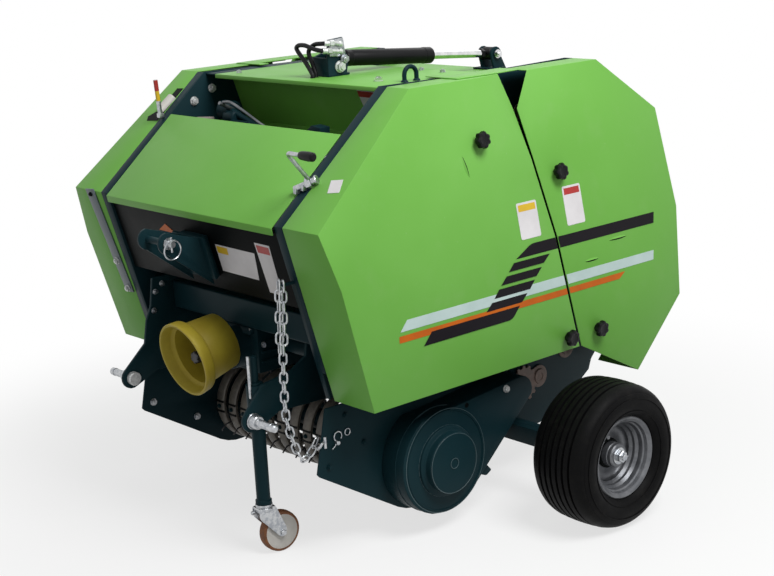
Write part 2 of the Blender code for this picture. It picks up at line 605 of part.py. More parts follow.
def turned_solid(name, outside, inside, centre, axis, mat, steps):
    """Turns a profile that meets its axis twice: out along one side and back along the other."""
    bm = bmesh.new()
    frame = Vector(axis).to_track_quat('Z', 'X').to_matrix().to_4x4()
    frame.translation = Vector(centre)
    rings = []
    for along, radius in outside + inside:
        if radius < 1e-6:
            rings.append([bm.verts.new(frame @ Vector((0, 0, along)))])
            continue
        turn = [2 * pi * i / steps for i in range(steps)]
        rings.append([bm.verts.new(frame @ Vector((radius * cos(a), radius * sin(a), along))) for a in turn])
    for ring, after in zip(rings, rings[1:] + rings[:1]):
        if len(ring) == 1 and len(after) == 1:
            continue
        for i in range(steps):
            j = (i + 1) % steps
            corners = [ring[i % len(ring)], ring[j % len(ring)], after[j % len(after)], after[i % len(after)]]
            bm.faces.new(list(dict.fromkeys(corners)))
    return make_object(name, bm, mat, 40)


def gate_cover_line():
    back = at_height(REAR_TOP_BACK, REAR_HIGH, GATE_COVER_Z)
    return [(GATE_COVER_Y, GATE_COVER_Z), shifted(back, -0.004), shifted(REAR_HIGH, -0.005, -0.003),
            shifted(REAR_LOW, -0.005, 0.002), shifted(REAR_BOTTOM, -0.003, 0.006)]


def gate_cover(mat):
    """Sheet that closes the tailgate from its top front edge round to the bottom."""
    return folded("gate_cover", gate_cover_line(), CHAMBER_HALF - GAP, COVER_SHEET, mat)


def rod_bracket(mat):
    """Ears for the rod's eye, with the pin's heads, on a foot over the bend of the gate's cover."""
    y, z = CYL_REAR
    line = gate_cover_line()
    end = at_height(line[1], line[2], z - 0.070)
    foot = [shifted(line[1], -0.050, GAP), shifted(line[1], 0.0002, GAP), shifted(end, 0.0003, GAP),
            shifted(end, 0.005, 0.006), shifted(line[1], 0.002, 0.006), shifted(line[1], -0.050, 0.006)]
    base = prism("rod_bracket", foot, CYL_X - 0.045, CYL_X + 0.045, mat)
    ears = arc(CYL_REAR, 0.022, -20, 180, 8)
    ears += [shifted(line[1], -0.030, 0.003), shifted(line[1], 0.001, 0.003), shifted(end, 0.002, 0.004)]
    parts = []
    for side in (1, -1):
        parts.append(prism("ear", ears, CYL_X + side * EAR_GAP, CYL_X + side * (EAR_GAP + EAR), mat))
        parts.append(rod("head", (CYL_X + side * (EAR_GAP + EAR - 0.001), y, z),
                         (CYL_X + side * (EAR_GAP + EAR + 0.006), y, z), CYL_PIN_R, mat, 16))
    return join(base, *parts)


def cylinder_bracket(name, eye, base, mat):
    """Box bracket for the cylinder's eye; its left ear stands up as a tab that holds the hose fittings."""
    y, z = eye
    front, back = y - 0.054, y + 0.012
    foot = box(name, (CYL_X - 0.036, front, base), (CYL_X + 0.036, back + 0.010, base + 0.006), mat)
    inner, outer = CYL_X - BARREL_R - 0.003, CYL_X + BARREL_R + 0.003
    web = box("web", (inner - 0.002, front, base + 0.001), (outer + 0.002, front + 0.008, z + 0.006), mat)
    low = [(back, base + 0.001), (front, base + 0.001)]
    far = low + [(front, z + 0.006)] + arc(eye, 0.022, 110, 0, 5)
    near = low + [(front, z + 0.006), (front + 0.006, z + 0.057), (y + 0.003, z + 0.061), (y + 0.010, z + 0.020),
                  (y + 0.022, z)]
    parts = [prism("ear", far, inner - EAR, inner, mat), prism("ear", near, outer, outer + EAR, mat)]
    reach = BARREL_R + 0.018
    parts.append(rod("pin", (CYL_X - reach, y, z), (CYL_X + reach, y, z), CYL_PIN_R, mat, 16))
    return join(foot, web, *parts)


def cylinder_barrel(mat):
    start = Vector((CYL_X, *CYL_FRONT))
    run = (Vector((CYL_X, *CYL_REAR)) - start).normalized()
    r = BARREL_R
    near = 0.034
    barrel = turned("cylinder_barrel",
                    [(near, 0), (near, r), (BARREL_LEN, r), (BARREL_LEN, ROD_R + 0.001),
                     (near + 0.020, ROD_R + 0.001), (near + 0.020, 0)], start, run, mat, 28)
    bore = CYL_PIN_R + 0.0012
    ring = [(-0.020, bore), (-0.020, 0.020), (0.020, 0.020), (0.020, bore)]
    eye = turned("eye", ring, start, (1, 0, 0), mat, 20)
    neck = rod("neck", start + run * 0.014, start + run * (near + 0.004), 0.014, mat, 16)
    hole = rod("hole", start - Vector((0.03, 0, 0)), start + Vector((0.03, 0, 0)), bore, mat, 20)
    cut(neck, hole)
    return join(barrel, neck, eye)


def cylinder_rod(mat):
    """Piston rod with its eye and the pin that sits in it between the bracket's ears."""
    start = Vector((CYL_X, *CYL_FRONT))
    end = Vector((CYL_X, *CYL_REAR))
    run = (end - start).normalized()
    bar = rod("cylinder_rod", start + run * (BARREL_LEN - 0.100), end - run * 0.014, ROD_R, mat, 20)
    pin_end = EAR_GAP - 0.0005
    profile = [(-pin_end, 0), (-pin_end, CYL_PIN_R), (-0.018, CYL_PIN_R), (-0.018, 0.020), (0.018, 0.020),
               (0.018, CYL_PIN_R), (pin_end, CYL_PIN_R), (pin_end, 0)]
    eye = turned("eye", profile, end, (1, 0, 0), mat, 20)
    return join(bar, eye)


def pickup_side(name, side, mat):
    """Pickup side plate: skid edge in front, arm with a bored eye on the pivot pin."""
    x0, x1 = side * PICKUP_X, side * (PICKUP_X + PICKUP_PLATE)
    belly = arc((REEL_Y - 0.03, REEL_Z), 0.150, 240, 300, 5)
    eye = arc((PICKUP_PIVOT_Y, PICKUP_PIVOT_Z), 0.032, -40, 110, 6)
    outline = [(-0.545, 0.425), (-0.584, 0.250), (-0.576, 0.241)] + belly + eye + [(-0.100, 0.400), (-0.300, 0.425)]
    plate = prism(name, outline, x0, x1, mat)
    hole = rod("hole", (x0 - side * 0.01, PICKUP_PIVOT_Y, PICKUP_PIVOT_Z),
               (x1 + side * 0.01, PICKUP_PIVOT_Y, PICKUP_PIVOT_Z), PIVOT_PIN_R + 0.001, mat)
    bore = rod("bore", (x0 - side * 0.01, REEL_Y, REEL_Z), (x1 + side * 0.01, REEL_Y, REEL_Z), 0.026, mat)
    return cut(plate, hole, bore)


def pickup_bands(mat):
    """C-shaped stripper bands round the reel, carried by a bar behind them."""
    outer = arc((REEL_Y, REEL_Z), BAND_R, 55, 300, 10)
    inner = arc((REEL_Y, REEL_Z), BAND_R - BAND_T, 300, 55, 10)
    step = 2 * BAND_HALF / (BAND_COUNT - 1)
    parts = []
    for i in range(BAND_COUNT):
        x = -BAND_HALF + i * step
        parts.append(prism("band", outer + inner, x - BAND_W / 2, x + BAND_W / 2, mat))
    y, z = arc((REEL_Y, REEL_Z), BAND_R - 0.002, 60, 60, 1)[0]
    half = PICKUP_X - GAP
    bar = box("pickup_bands", (-half, y - 0.004, z - 0.004), (half, y + 0.016, z + 0.012), mat)
    return join(bar, *parts)


def pickup_reel(mat):
    """Tine reel: tube, tine bars' tines in rows between the bands, end stubs."""
    half = PICKUP_X + PICKUP_PLATE
    tube = CHAMBER_HALF
    profile = [(-half, 0), (-half, 0.025), (-tube, 0.025), (-tube, 0.060), (tube, 0.060), (tube, 0.025),
               (half, 0.025), (half, 0)]
    reel = turned("pickup_reel", profile, (0, REEL_Y, REEL_Z), (1, 0, 0), mat, 20)
    step = 2 * BAND_HALF / (BAND_COUNT - 1)
    tines = []
    for row in range(TINE_ROWS):
        angle = radians(90 * row + 20)
        tip = Vector((0, cos(angle), sin(angle))) * TINE_R
        root = tip * (0.055 / TINE_R)
        for i in range(BAND_COUNT - 1):
            place = Vector((-BAND_HALF + (i + 0.5) * step, REEL_Y, REEL_Z))
            tines.append(rod("tine", place + root, place + tip, TINE / 2, mat, 4))
    return join(reel, *tines)


def pickup_drive_cover(mat):
    """Chain cover outside the left side plate: round drum, dome and an arm up to the pivot."""
    x0, x1 = DRIVE_X, DRIVE_X + DRIVE_W
    drum = arc((REEL_Y - 0.008, REEL_Z), DRIVE_R, 118, 250, 12) + arc((REEL_Y, REEL_Z), DRIVE_R, 258, 318, 6)
    end = arc((0.100, 0.330), 0.045, -20, 100, 6)
    cover = prism("pickup_drive_cover", drum + end, x0, x1, mat)
    profile = [(0, 0), (0, DOME_R + 0.014), (0.010, DOME_R + 0.014), (0.013, DOME_R), (0.033, DOME_R),
               (0.036, DOME_R - 0.004), (0.036, 0)]
    dome = turned("dome", profile, (x1 - 0.002, REEL_Y, REEL_Z), (1, 0, 0), mat, 32)
    hole = rod("hole", (x0 - 0.01, PICKUP_PIVOT_Y, PICKUP_PIVOT_Z),
               (x0 + 0.012, PICKUP_PIVOT_Y, PICKUP_PIVOT_Z), PIVOT_PIN_R + 0.004, mat)
    return cut(join(cover, dome), hole)


def jack_sleeve(mat):
    """Sleeve on the left hitch plate in which the jack leg slides."""
    inner = JACK_R + 0.001
    profile = [(0, inner), (0, inner + SLEEVE_WALL), (SLEEVE, inner + SLEEVE_WALL), (SLEEVE, inner)]
    return turned("jack_sleeve", profile, (JACK_X, JACK_Y, SLEEVE_LOW), (0, 0, 1), mat, 20)


def jack_leg(mat):
    """Tube of the jack with a narrower neck above its sleeve."""
    profile = [(0, 0), (0, JACK_R), (JACK_NECK - JACK_LOW, JACK_R), (JACK_NECK - JACK_LOW, JACK_NECK_R),
               (JACK_TOP - JACK_LOW, JACK_NECK_R), (JACK_TOP - JACK_LOW, 0)]
    return turned("jack_leg", profile, (JACK_X, JACK_Y, JACK_LOW), (0, 0, 1), mat, 20)


def caster(mats):
    """Swivelling fork and its disc wheel under the leg."""
    top = Vector((JACK_X, JACK_Y, JACK_LOW - GAP))
    turn = Matrix.Rotation(radians(CASTER_TURN), 4, 'Z')
    across = turn @ Vector((1, 0, 0))
    hub = Vector((top.x, top.y, 0)) + turn @ Vector((0, CASTER_TRAIL, 0)) + Vector((0, 0, CASTER_R))
    half, edge = CASTER_W / 2, CASTER_R - 0.006
    profile = [(-half, 0), (-half, edge), (0.006 - half, CASTER_R), (half - 0.006, CASTER_R), (half, edge),
               (half, 0)]
    wheel = turned("caster_wheel", profile, hub, across, mats[1], 28)
    fork = rod("caster_fork", top, top - Vector((0, 0, 0.020)), 0.024, mats[0], 20)
    fork_in = half + 0.002
    crown = fork_in + 0.0015
    outline = [(-0.024, top.z - 0.006), (0.024, top.z - 0.006), (CASTER_TRAIL + 0.014, CASTER_R),
               (CASTER_TRAIL, CASTER_R - 0.014), (CASTER_TRAIL - 0.014, CASTER_R - 0.004),
               (-0.024, top.z - 0.034)]
    parts = [prism("cheek", outline, side * fork_in, side * (fork_in + 0.003), mats[0]) for side in (1, -1)]
    parts.append(box("crown", (-crown, -0.021, top.z - 0.018), (crown, 0.021, top.z - 0.008), mats[0]))
    for part in parts:
        part.data.transform(Matrix.Translation((top.x, top.y, 0)) @ turn)
    return wheel, join(fork, *parts)


def crank(mat):
    """Hand crank that lies against the slanted face beside the left guard."""
    away = Vector((0, FRONT_NOSE[1] - FRONT_TOP[1], FRONT_TOP[0] - FRONT_NOSE[0])).normalized()
    hub_y = -0.548
    hub = Vector((CHAMBER_HALF + STRIP / 2, hub_y, slant(hub_y))) + away * (CRANK_R + 0.005)
    along = Vector((0.066, 0.039, 0.032)).normalized()
    shaft = rod("crank_handle", hub - along * 0.030, hub + along * 0.035, 0.009, mat, 12)
    foot = hub + along * 0.020
    end = foot + away * CRANK_ARM
    arm = rod("arm", foot, end, CRANK_R, mat, 10)
    grip = rod("grip", end - Vector((CRANK_R - 0.001, 0, 0.001)), end + Vector((CRANK_GRIP, 0, -0.001)),
               CRANK_R + 0.001, mat, 10)
    return join(shaft, arm, grip)


def tube_along(name, points, radius, mat, resolution=2):
    """A round bar or hose along a smooth line through its points, with closed ends."""
    curve = bpy.data.curves.new(name, 'CURVE')
    curve.dimensions = '3D'
    line = curve.splines.new('POLY')
    line.points.add(len(points) - 1)
    for node, place in zip(line.points, points):
        node.co = (*place, 1.0)
    curve.bevel_depth = radius
    curve.bevel_resolution = resolution
    curve.use_fill_caps = True
    thing = bpy.data.objects.new(name, curve)
    bpy.context.scene.collection.objects.link(thing)
    graph = bpy.context.evaluated_depsgraph_get()
    mesh = bpy.data.meshes.new_from_object(thing.evaluated_get(graph))
    bpy.data.objects.remove(thing, do_unlink=True)
    bm = bmesh.new()
    bm.from_mesh(mesh)
    return make_object(name, bm, mat, 40)


def smooth_line(route, pieces):
    """Points on a smooth curve through the route's points (Catmull-Rom)."""
    route = [Vector(p) for p in route]
    ends = [route[0] * 2 - route[1], *route, route[-1] * 2 - route[-2]]
    points = []
    for a, b, c, d in zip(ends, ends[1:], ends[2:], ends[3:]):
        for i in range(pieces):
            t = i / pieces
            points.append(0.5 * (2 * b + (c - a) * t + (2 * a - 5 * b + 4 * c - d) * t ** 2
                                 + (3 * b - a - 3 * c + d) * t ** 3))
    return points + [route[-1]]


def lifting_eye(mat):
    """Bent bar welded to the top sheet as a lifting eye."""
    base = TOP_Z - 0.004 + GAP
    centre = (LIFT_Y, base + 0.018)
    bow = [(LIFT_Y + LIFT_R, base)] + arc(centre, LIFT_R, 0, 180, 8) + [(LIFT_Y - LIFT_R, base)]
    return tube_along("lifting_eye", [(LIFT_X, *p) for p in bow], LIFT_BAR, mat)


def indicator_rod(mat):
    """Marker rod that stands on the right-hand strip and shows how full the chamber is."""
    x, y, half = INDICATOR_X, INDICATOR_Y, 0.008
    base = slant(y + half) + GAP
    foot = box("foot", (x - half, y - half, base), (x + half, y + half, base + 0.012), mat)
    bar = rod("indicator_rod", (x, y, base + 0.002), (x, y - INDICATOR_LEAN, INDICATOR_TOP), INDICATOR_R, mat, 12)
    return join(bar, foot)


def hoses(mat):
    """Two hoses that loop from the cylinder's head down through the top sheet's grommets."""
    low = TOP_Z - 0.004 + 4 * GAP
    outer = [(0.043, -0.212, low), (0.043, -0.212, 1.247), (0.033, -0.212, 1.260), (0.018, -0.212, 1.277),
             (-0.002, -0.212, 1.296), (-0.018, -0.212, 1.311), (-0.023, -0.212, 1.321), (-0.011, -0.212, 1.328),
             (0.013, -0.212, 1.329), (0.034, -0.212, 1.325), (0.058, -0.210, 1.319), (0.078, -0.203, 1.315),
             (0.084, -0.186, 1.313)]
    inner = [(0.037, -0.196, low), (0.037, -0.196, 1.247), (0.031, -0.196, 1.262), (0.023, -0.196, 1.281),
             (0.013, -0.196, 1.298), (0.012, -0.196, 1.311), (0.024, -0.196, 1.323), (0.043, -0.196, 1.331),
             (0.060, -0.195, 1.333), (0.078, -0.192, 1.334), (0.086, -0.178, 1.334)]
    for name, route in (("outer", outer), ("inner", inner)):
        tube_along("hydraulic_hose_" + name, smooth_line(route, 3), HOSE_R, mat)


def pickup_chain(mat):
    """Chain that holds the pickup up, from a tab on the frame to a hook on its left side plate."""
    route = [(CHAIN_X, y, z) for y, z in CHAIN_ROUTE]
    route[-1] = (PICKUP_X - 0.010, *CHAIN_ROUTE[-1])
    return tube_along("pickup_chain", smooth_line(route, 4), CHAIN_R, mat)


def twine_arm(mat):
    """Pivoting arm of the twine wrapper on a bearing block on the box floor."""
    block = floor_block("twine_arm", -0.345, -0.295, -0.335, -0.285, 1.100, mat)
    hub = rod("hub", (-0.360, -0.310, 1.085), (-0.255, -0.310, 1.085), 0.024, mat, 16)
    lever = rod("lever", (-0.270, -0.310, 1.085), (-0.225, -0.300, 1.140), 0.010, mat, 12)
    tip = rod("tip", (-0.228, -0.300, 1.135), (-0.070, -0.262, 1.062), 0.009, mat, 12)
    return join(block, hub, lever, tip)


def twine_roller(mat):
    """Feed roller across the box on two end blocks."""
    bar = rod("twine_roller", (-0.150, -0.330, 1.040), (0.330, -0.330, 1.040), 0.016, mat, 16)
    parts = [floor_block("block", x, x + 0.016, -0.345, -0.315, 1.062, mat) for x in (-0.140, 0.306)]
    return join(bar, *parts)


def place_of(thing):
    """Where a piece or an empty stands, counted up through its parents."""
    place = thing.location.copy()
    while thing.parent:
        thing = thing.parent
        place += thing.location
    return place


def pivot(name, place, parent, pieces):
    """An empty on a joint's axis that carries the pieces which move with it."""
    empty = bpy.data.objects.new(name, None)
    bpy.context.scene.collection.objects.link(empty)
    empty.location = Vector(place)
    if parent:
        empty.parent = parent
        empty.location -= place_of(parent)
    for piece in pieces:
        thing = bpy.data.objects[piece]
        thing.parent = empty
        thing.location = -place_of(empty)
    return empty


def hang_everything():
    """Hangs each moving piece on its joint's axis and the rest on the origin's empty."""
    hub_x = {"left": TYRE_X, "right": -TYRE_X}
    gate = pivot("tailgate_axis", (0, PIVOT_Y, PIVOT_Z), None,
                 ["gate_side_left", "gate_side_right", "gate_cover", "rear_rollers", "rod_bracket"])
    pickup = pivot("pickup_axis", (0, PICKUP_PIVOT_Y, PICKUP_PIVOT_Z), None,
                   ["pickup_side_left", "pickup_side_right", "pickup_bands", "pickup_drive_cover"])
    pivot("reel_axis", (0, REEL_Y, REEL_Z), pickup, ["pickup_reel"])
    turning = Matrix.Rotation(radians(CASTER_TURN), 4, 'Z') @ Vector((0, CASTER_TRAIL, 0))
    jack = pivot("jack_axis", (JACK_X, JACK_Y, JACK_LOW), None, ["jack_leg"])
    fork = pivot("caster_axis", (JACK_X, JACK_Y, JACK_LOW), jack, ["caster_fork"])
    pivot("caster_hub", (JACK_X + turning.x, JACK_Y + turning.y, CASTER_R), fork, ["caster_wheel"])
    barrel = pivot("cylinder_axis", (CYL_X, *CYL_FRONT), None, ["cylinder_barrel"])
    pivot("cylinder_eye", (CYL_X, *CYL_REAR), barrel, ["cylinder_rod"])
    tops = [gate, pickup, jack, barrel]
    tops.append(pivot("pto_axis", (0, BOSS_Y, PTO_Z), None, ["pto_shaft"]))
    for label, x in hub_x.items():
        edge = FLANGE_X if x > 0 else -FLANGE_X
        tops.append(pivot("wheel_axis_" + label, (x, WHEEL_Y, TYRE_R), None,
                          ["tyre_" + label, "rim_" + label]))
        tops.append(pivot("front_hinge_" + label, (edge, *FRONT_LOW), None, ["guard_front_" + label]))
        pivot("rear_hinge_" + label, (edge, *REAR_LOW), gate, ["guard_rear_" + label])
    origin = bpy.data.objects.new("ground_middle", None)
    bpy.context.scene.collection.objects.link(origin)
    origin.location.y = -(TOP_LINK_Y - TOP_LINK_EAR + REAR_LOW[0]) / 2
    loose = [thing for thing in bpy.data.objects if thing.type == 'MESH' and not thing.parent]
    for thing in tops + loose:
        thing.parent = origin


def main():
    clear_scene()
    green = paint("green_paint", (0.22, 0.50, 0.08), 0.35)
    teal = paint("frame_paint", (0.02, 0.06, 0.07), 0.45)
    black = paint("black_paint", (0.02, 0.02, 0.022), 0.5)
    yellow = paint("yellow_plastic", (0.62, 0.42, 0.05), 0.45)
    zinc = paint("zinc_steel", (0.60, 0.61, 0.62), 0.35, 1.0)
    chrome = paint("chrome", (0.80, 0.80, 0.80), 0.12, 1.0)
    rubber = paint("rubber", (0.015, 0.015, 0.016), 0.8)
    steel = paint("roller_steel", (0.20, 0.21, 0.22), 0.4, 1.0)
    grey = paint("band_steel", (0.20, 0.18, 0.16), 0.5, 0.6)
    white = paint("white_plastic", (0.75, 0.75, 0.73), 0.5)
    red = paint("red_paint", (0.55, 0.04, 0.03), 0.5)
    sides = (("left", 1), ("right", -1))

    # chamber halves and guards
    for label, side in sides:
        frame_side("frame_side_" + label, side, teal)
        gate_side("gate_side_" + label, side, teal)
        front_guard("guard_front_" + label, side, green)
        rear_guard("guard_rear_" + label, side, green)
    roller_bed("front_rollers", roller_angles(105, 200), steel)
    feed = 250
    roller_bed("feed_rollers", [feed, feed + ROLLER_STEP], steel)
    roller_bed("rear_rollers", roller_angles(feed + 2 * ROLLER_STEP - 360, 80.02), steel)

    # body panels
    front_cover(green)
    top_sheet(green)
    twine_box(green)
    for label, side in sides:
        hinge_cover("hinge_cover_" + label, side, green)
    front_panel(black)
    gate_cover(green)

    # frame, hitch and drive
    frame_beam(teal)
    for label, side in sides:
        hitch_plate("hitch_plate_" + label, side, teal)
    top_link_bracket(teal)
    gearbox(teal)
    pto_guard(yellow)
    pto_shaft(zinc)
    axle_beam(teal)
    for label, side in sides:
        tyre("tyre_" + label, side, rubber)
        rim("rim_" + label, side, zinc)

    # tailgate cylinder
    cylinder_bracket("cylinder_bracket", CYL_FRONT, TOP_Z - 0.004 + GAP, teal)
    rod_bracket(teal)
    cylinder_barrel(black)
    cylinder_rod(chrome)

    # pickup
    for label, side in sides:
        pickup_side("pickup_side_" + label, side, teal)
    pickup_bands(grey)
    pickup_reel(black)
    pickup_drive_cover(teal)

    # jack and small pieces
    jack_sleeve(zinc)
    jack_leg(teal)
    caster((zinc, white))
    crank(zinc)
    lifting_eye(teal)
    indicator_rod(red)
    hoses(black)
    pickup_chain(zinc)
    twine_arm(teal)
    twine_roller(zinc)
    hang_everything()


main()
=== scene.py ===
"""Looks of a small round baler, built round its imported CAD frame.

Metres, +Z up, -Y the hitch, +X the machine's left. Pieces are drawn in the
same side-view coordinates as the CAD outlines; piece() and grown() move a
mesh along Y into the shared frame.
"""
import json
from math import asin, cos, degrees, hypot, pi, radians, sin

import bmesh
import bpy
from mathutils import Matrix, Vector


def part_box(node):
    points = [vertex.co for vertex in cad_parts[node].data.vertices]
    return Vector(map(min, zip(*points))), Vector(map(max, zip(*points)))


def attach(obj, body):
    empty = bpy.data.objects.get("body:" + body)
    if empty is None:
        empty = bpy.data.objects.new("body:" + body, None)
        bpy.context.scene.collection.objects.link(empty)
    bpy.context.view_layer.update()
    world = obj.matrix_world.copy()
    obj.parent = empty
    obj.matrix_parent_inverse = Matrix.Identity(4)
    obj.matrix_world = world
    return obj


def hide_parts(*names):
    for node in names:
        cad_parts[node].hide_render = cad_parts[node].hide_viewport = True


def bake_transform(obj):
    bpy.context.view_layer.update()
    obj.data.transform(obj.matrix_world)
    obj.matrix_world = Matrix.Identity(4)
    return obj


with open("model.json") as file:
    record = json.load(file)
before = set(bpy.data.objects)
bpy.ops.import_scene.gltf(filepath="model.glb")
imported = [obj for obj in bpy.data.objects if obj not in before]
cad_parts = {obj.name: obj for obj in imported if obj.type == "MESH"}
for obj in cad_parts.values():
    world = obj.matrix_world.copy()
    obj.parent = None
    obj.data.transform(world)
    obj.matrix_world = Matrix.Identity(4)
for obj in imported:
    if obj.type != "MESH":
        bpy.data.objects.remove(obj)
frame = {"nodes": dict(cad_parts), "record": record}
nodes = frame["nodes"]
BODY = {node: body for body, members in frame["record"]["behaviour"]["bodies"].items() for node in members}
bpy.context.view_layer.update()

LOW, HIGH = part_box("rim_left")
WHEEL_Y, WHEEL_Z = 0.135, (LOW.z + HIGH.z) / 2
SHIFT = (LOW.y + HIGH.y) / 2 - WHEEL_Y       # from side-view Y to the frame's Y
WHEEL_X = 0.794

# values that the CAD outlines share
CREASE_HALF, CREASE_Z, LEAN_UP, LEAN_DOWN = 0.608, 0.783, 0.19, 0.031
FRONT_TOP, FRONT_NOSE, FRONT_LOW = (-0.2765, 1.242), (-0.649, 0.931), (-0.516, 0.441)
SPLIT_LOW, SPLIT_CREASE, SPLIT_BEND, SPLIT_HIGH = (0.265, 0.441), (0.164, 0.783), (0.1215, 1.004), (0.091,
        1.145)
SPLIT = 0.008
TOP_Z = 1.242
REEL = (-0.205, 0.207)
JACK_X, JACK_Y, JACK_R = 0.2657, -0.648, 0.019
CYL_X, CYL_FRONT, CYL_REAR = 0.04, (-0.125, 1.285), (0.494, 1.236)
HITCH_X, HITCH_Y, HITCH_Z = 0.301, -0.688, 0.401
PTO_Z, BOSS_Y = 0.511, -0.543
FUNNEL_AT, FUNNEL_TILT = (0, -0.56, 0.54), 11.5
COVER_X = 0.52                              # outer face of the pickup's drive cover
BED_Y, BED_Z, BED_R, ROLLER_R, ROLLER_GAP = 0.16, 0.703, 0.415, 0.06, 0.0085
FRONT_OUT = Vector((0, -0.965, -0.262))      # out of the front panel
SLOPE_OUT = Vector((0, -0.64, 0.767))        # out of the slanted front sheets


# --- node trees -------------------------------------------------------------
class Value:
    """A socket of a node tree; arithmetic on it adds Math nodes."""

    def __init__(self, tree, socket):
        self.tree, self.socket = tree, socket

    def math(self, operation, *values):
        return self.tree.add("ShaderNodeMath", {"operation": operation}, dict(enumerate(values)))

    def __add__(self, other):
        return self.math("ADD", self, other)

    def __sub__(self, other):
        return self.math("SUBTRACT", self, other)

    def __rsub__(self, other):
        return self.math("SUBTRACT", other, self)

    def __mul__(self, other):
        return self.math("MULTIPLY", self, other)

    __radd__, __rmul__ = __add__, __mul__

    def step(self, start, end):
        """0 below start and 1 above end, smooth between them."""
        return self.tree.add("ShaderNodeMapRange", {"interpolation_type": 'SMOOTHSTEP'}, {0: self, 1: start,
                2: end})


class Tree:
    """Adds nodes to a shader or geometry tree: settings first, then values or links of the sockets."""

    def __init__(self, tree):
        self.tree = tree

    def add(self, kind, settings=(), sockets=(), output=0):
        node = self.tree.nodes.new(kind)
        for key, value in dict(settings).items():
            setattr(node, key, value)
        for key, value in dict(sockets).items():
            for one in value if isinstance(value, list) else [value]:
                if isinstance(one, Value):
                    self.tree.links.new(one.socket, node.inputs[key])
                else:
                    node.inputs[key].default_value = one
        return Value(self, node.outputs[output])


class Finish(Tree):
    """A procedural material; constants are set on the shader's own sockets."""

    def __init__(self, name, slot, **constants):
        self.material = bpy.data.materials.new(name)
        self.material.use_nodes = True
        self.slot = slot
        super().__init__(self.material.node_tree)
        self.shader = self.tree.nodes["Principled BSDF"]
        for key, value in constants.items():
            self.shader.inputs[key.replace("_", " ")].default_value = value
        self.place = self.add("ShaderNodeTexCoord", output=3)

    def noise(self, scale, detail=2.0, rough=0.5, stretch=None):
        place = self.place
        if stretch:
            place = self.add("ShaderNodeMapping", sockets={"Vector": self.place, "Scale": stretch})
        return self.add("ShaderNodeTexNoise", sockets={"Vector": place, "Scale": scale, "Detail": detail,
                "Roughness": rough})

    def cells(self, scale):
        return self.add("ShaderNodeTexVoronoi", sockets={"Vector": self.place, "Scale": scale})

    def axis(self, index):
        return self.add("ShaderNodeSeparateXYZ", sockets={0: self.place}, output=index)

    def mix(self, factor, a, b):
        a, b = [(*c, 1.0) if isinstance(c, tuple) else c for c in (a, b)]
        return self.add("ShaderNodeMix", {"data_type": 'RGBA'}, {0: factor, 6: a, 7: b}, 2)

    def show(self, **links):
        for key, value in links.items():
            self.tree.links.new(value.socket, self.shader.inputs[key.replace("_", " ")])
        return self

    def bump(self, height, strength, distance):
        bumped = self.add("ShaderNodeBump", sockets={"Height": height, "Strength": strength,
                "Distance": distance})
        return self.show(Normal=bumped)


def paint(name, slot, light, dark, rough=0.35, coat=0.0, dust=(0.32, 0.3, 0.25), dusty=0.1, specular=0.5):
    """Sprayed paint: uneven tone, orange peel, dust in its low patches and a few specks."""
    f = Finish(name, slot, Coat_Weight=coat, Coat_Roughness=0.12, Specular_IOR_Level=specular)
    cloud = f.noise(2.3, 3)
    patches = f.noise(11, 6, 0.62)
    specks = f.noise(95, 2, 0.6).step(0.7, 0.76)
    settled = patches.step(0.5, 0.8) * dusty
    colour = f.mix(cloud.step(0.3, 0.7), dark, light)
    colour = f.mix(settled, colour, dust)
    colour = f.mix(specks * (dusty * 2.0), colour, dust)
    f.show(Base_Color=colour, Roughness=patches * 0.18 + (rough - 0.08))
    return f.bump(f.noise(420, 1) * 0.25 + f.noise(3.5, 2), 0.25, 0.0016)


def metal(name, slot, light, dark, rough, metallic=1.0, grain=60.0, stain=None, stained=(0.55, 0.75)):
    """Bare or plated metal: mottled tone, stains and fine pitting."""
    f = Finish(name, slot, Metallic=metallic)
    mottle = f.noise(grain, 4, 0.65)
    stains = f.noise(grain * 0.3, 5, 0.7).step(*stained)
    colour = f.mix(mottle.step(0.35, 0.65), dark, light)
    if stain:
        colour = f.mix(stains, colour, stain)
    f.show(Base_Color=colour, Roughness=mottle * 0.22 + stains * 0.15 + (rough - 0.12))
    return f.bump(mottle, 0.25, 0.0006)


def plastic(name, slot, light, dark, rough, grain=500.0, coat=0.0, specular=0.5):
    """Moulded plastic or rubber: slight tone change, fine grain."""
    f = Finish(name, slot, Coat_Weight=coat, Specular_IOR_Level=specular)
    cloud = f.noise(9, 4, 0.6)
    f.show(Base_Color=f.mix(cloud.step(0.3, 0.7), dark, light), Roughness=cloud * 0.16 + (rough - 0.08))
    return f.bump(f.noise(grain, 2), 0.3, 0.0005)


def tyre_rubber():
    """Black rubber with a little dried dust in its grooves."""
    f = Finish("tyre_rubber", "tyre_rubber", Specular_IOR_Level=0.08)
    dust = f.noise(22, 6, 0.7).step(0.52, 0.78) * 0.22 + f.noise(55, 3, 0.6).step(0.5, 0.7) * 0.08
    colour = f.mix(dust, (0.0022, 0.0022, 0.0025), (0.024, 0.022, 0.019))
    f.show(Base_Color=colour, Roughness=f.noise(30, 4) * 0.25 + 0.42)
    return f.bump(f.noise(240, 3), 0.35, 0.0007)


def panel_paint():
    """Green paint of the big panels."""
    return paint("panel_paint", "green_paint", (0.19, 0.49, 0.092), (0.166, 0.45, 0.074), 0.4, 0.0, (0.36,
            0.5, 0.26), 0.08, 0.12)


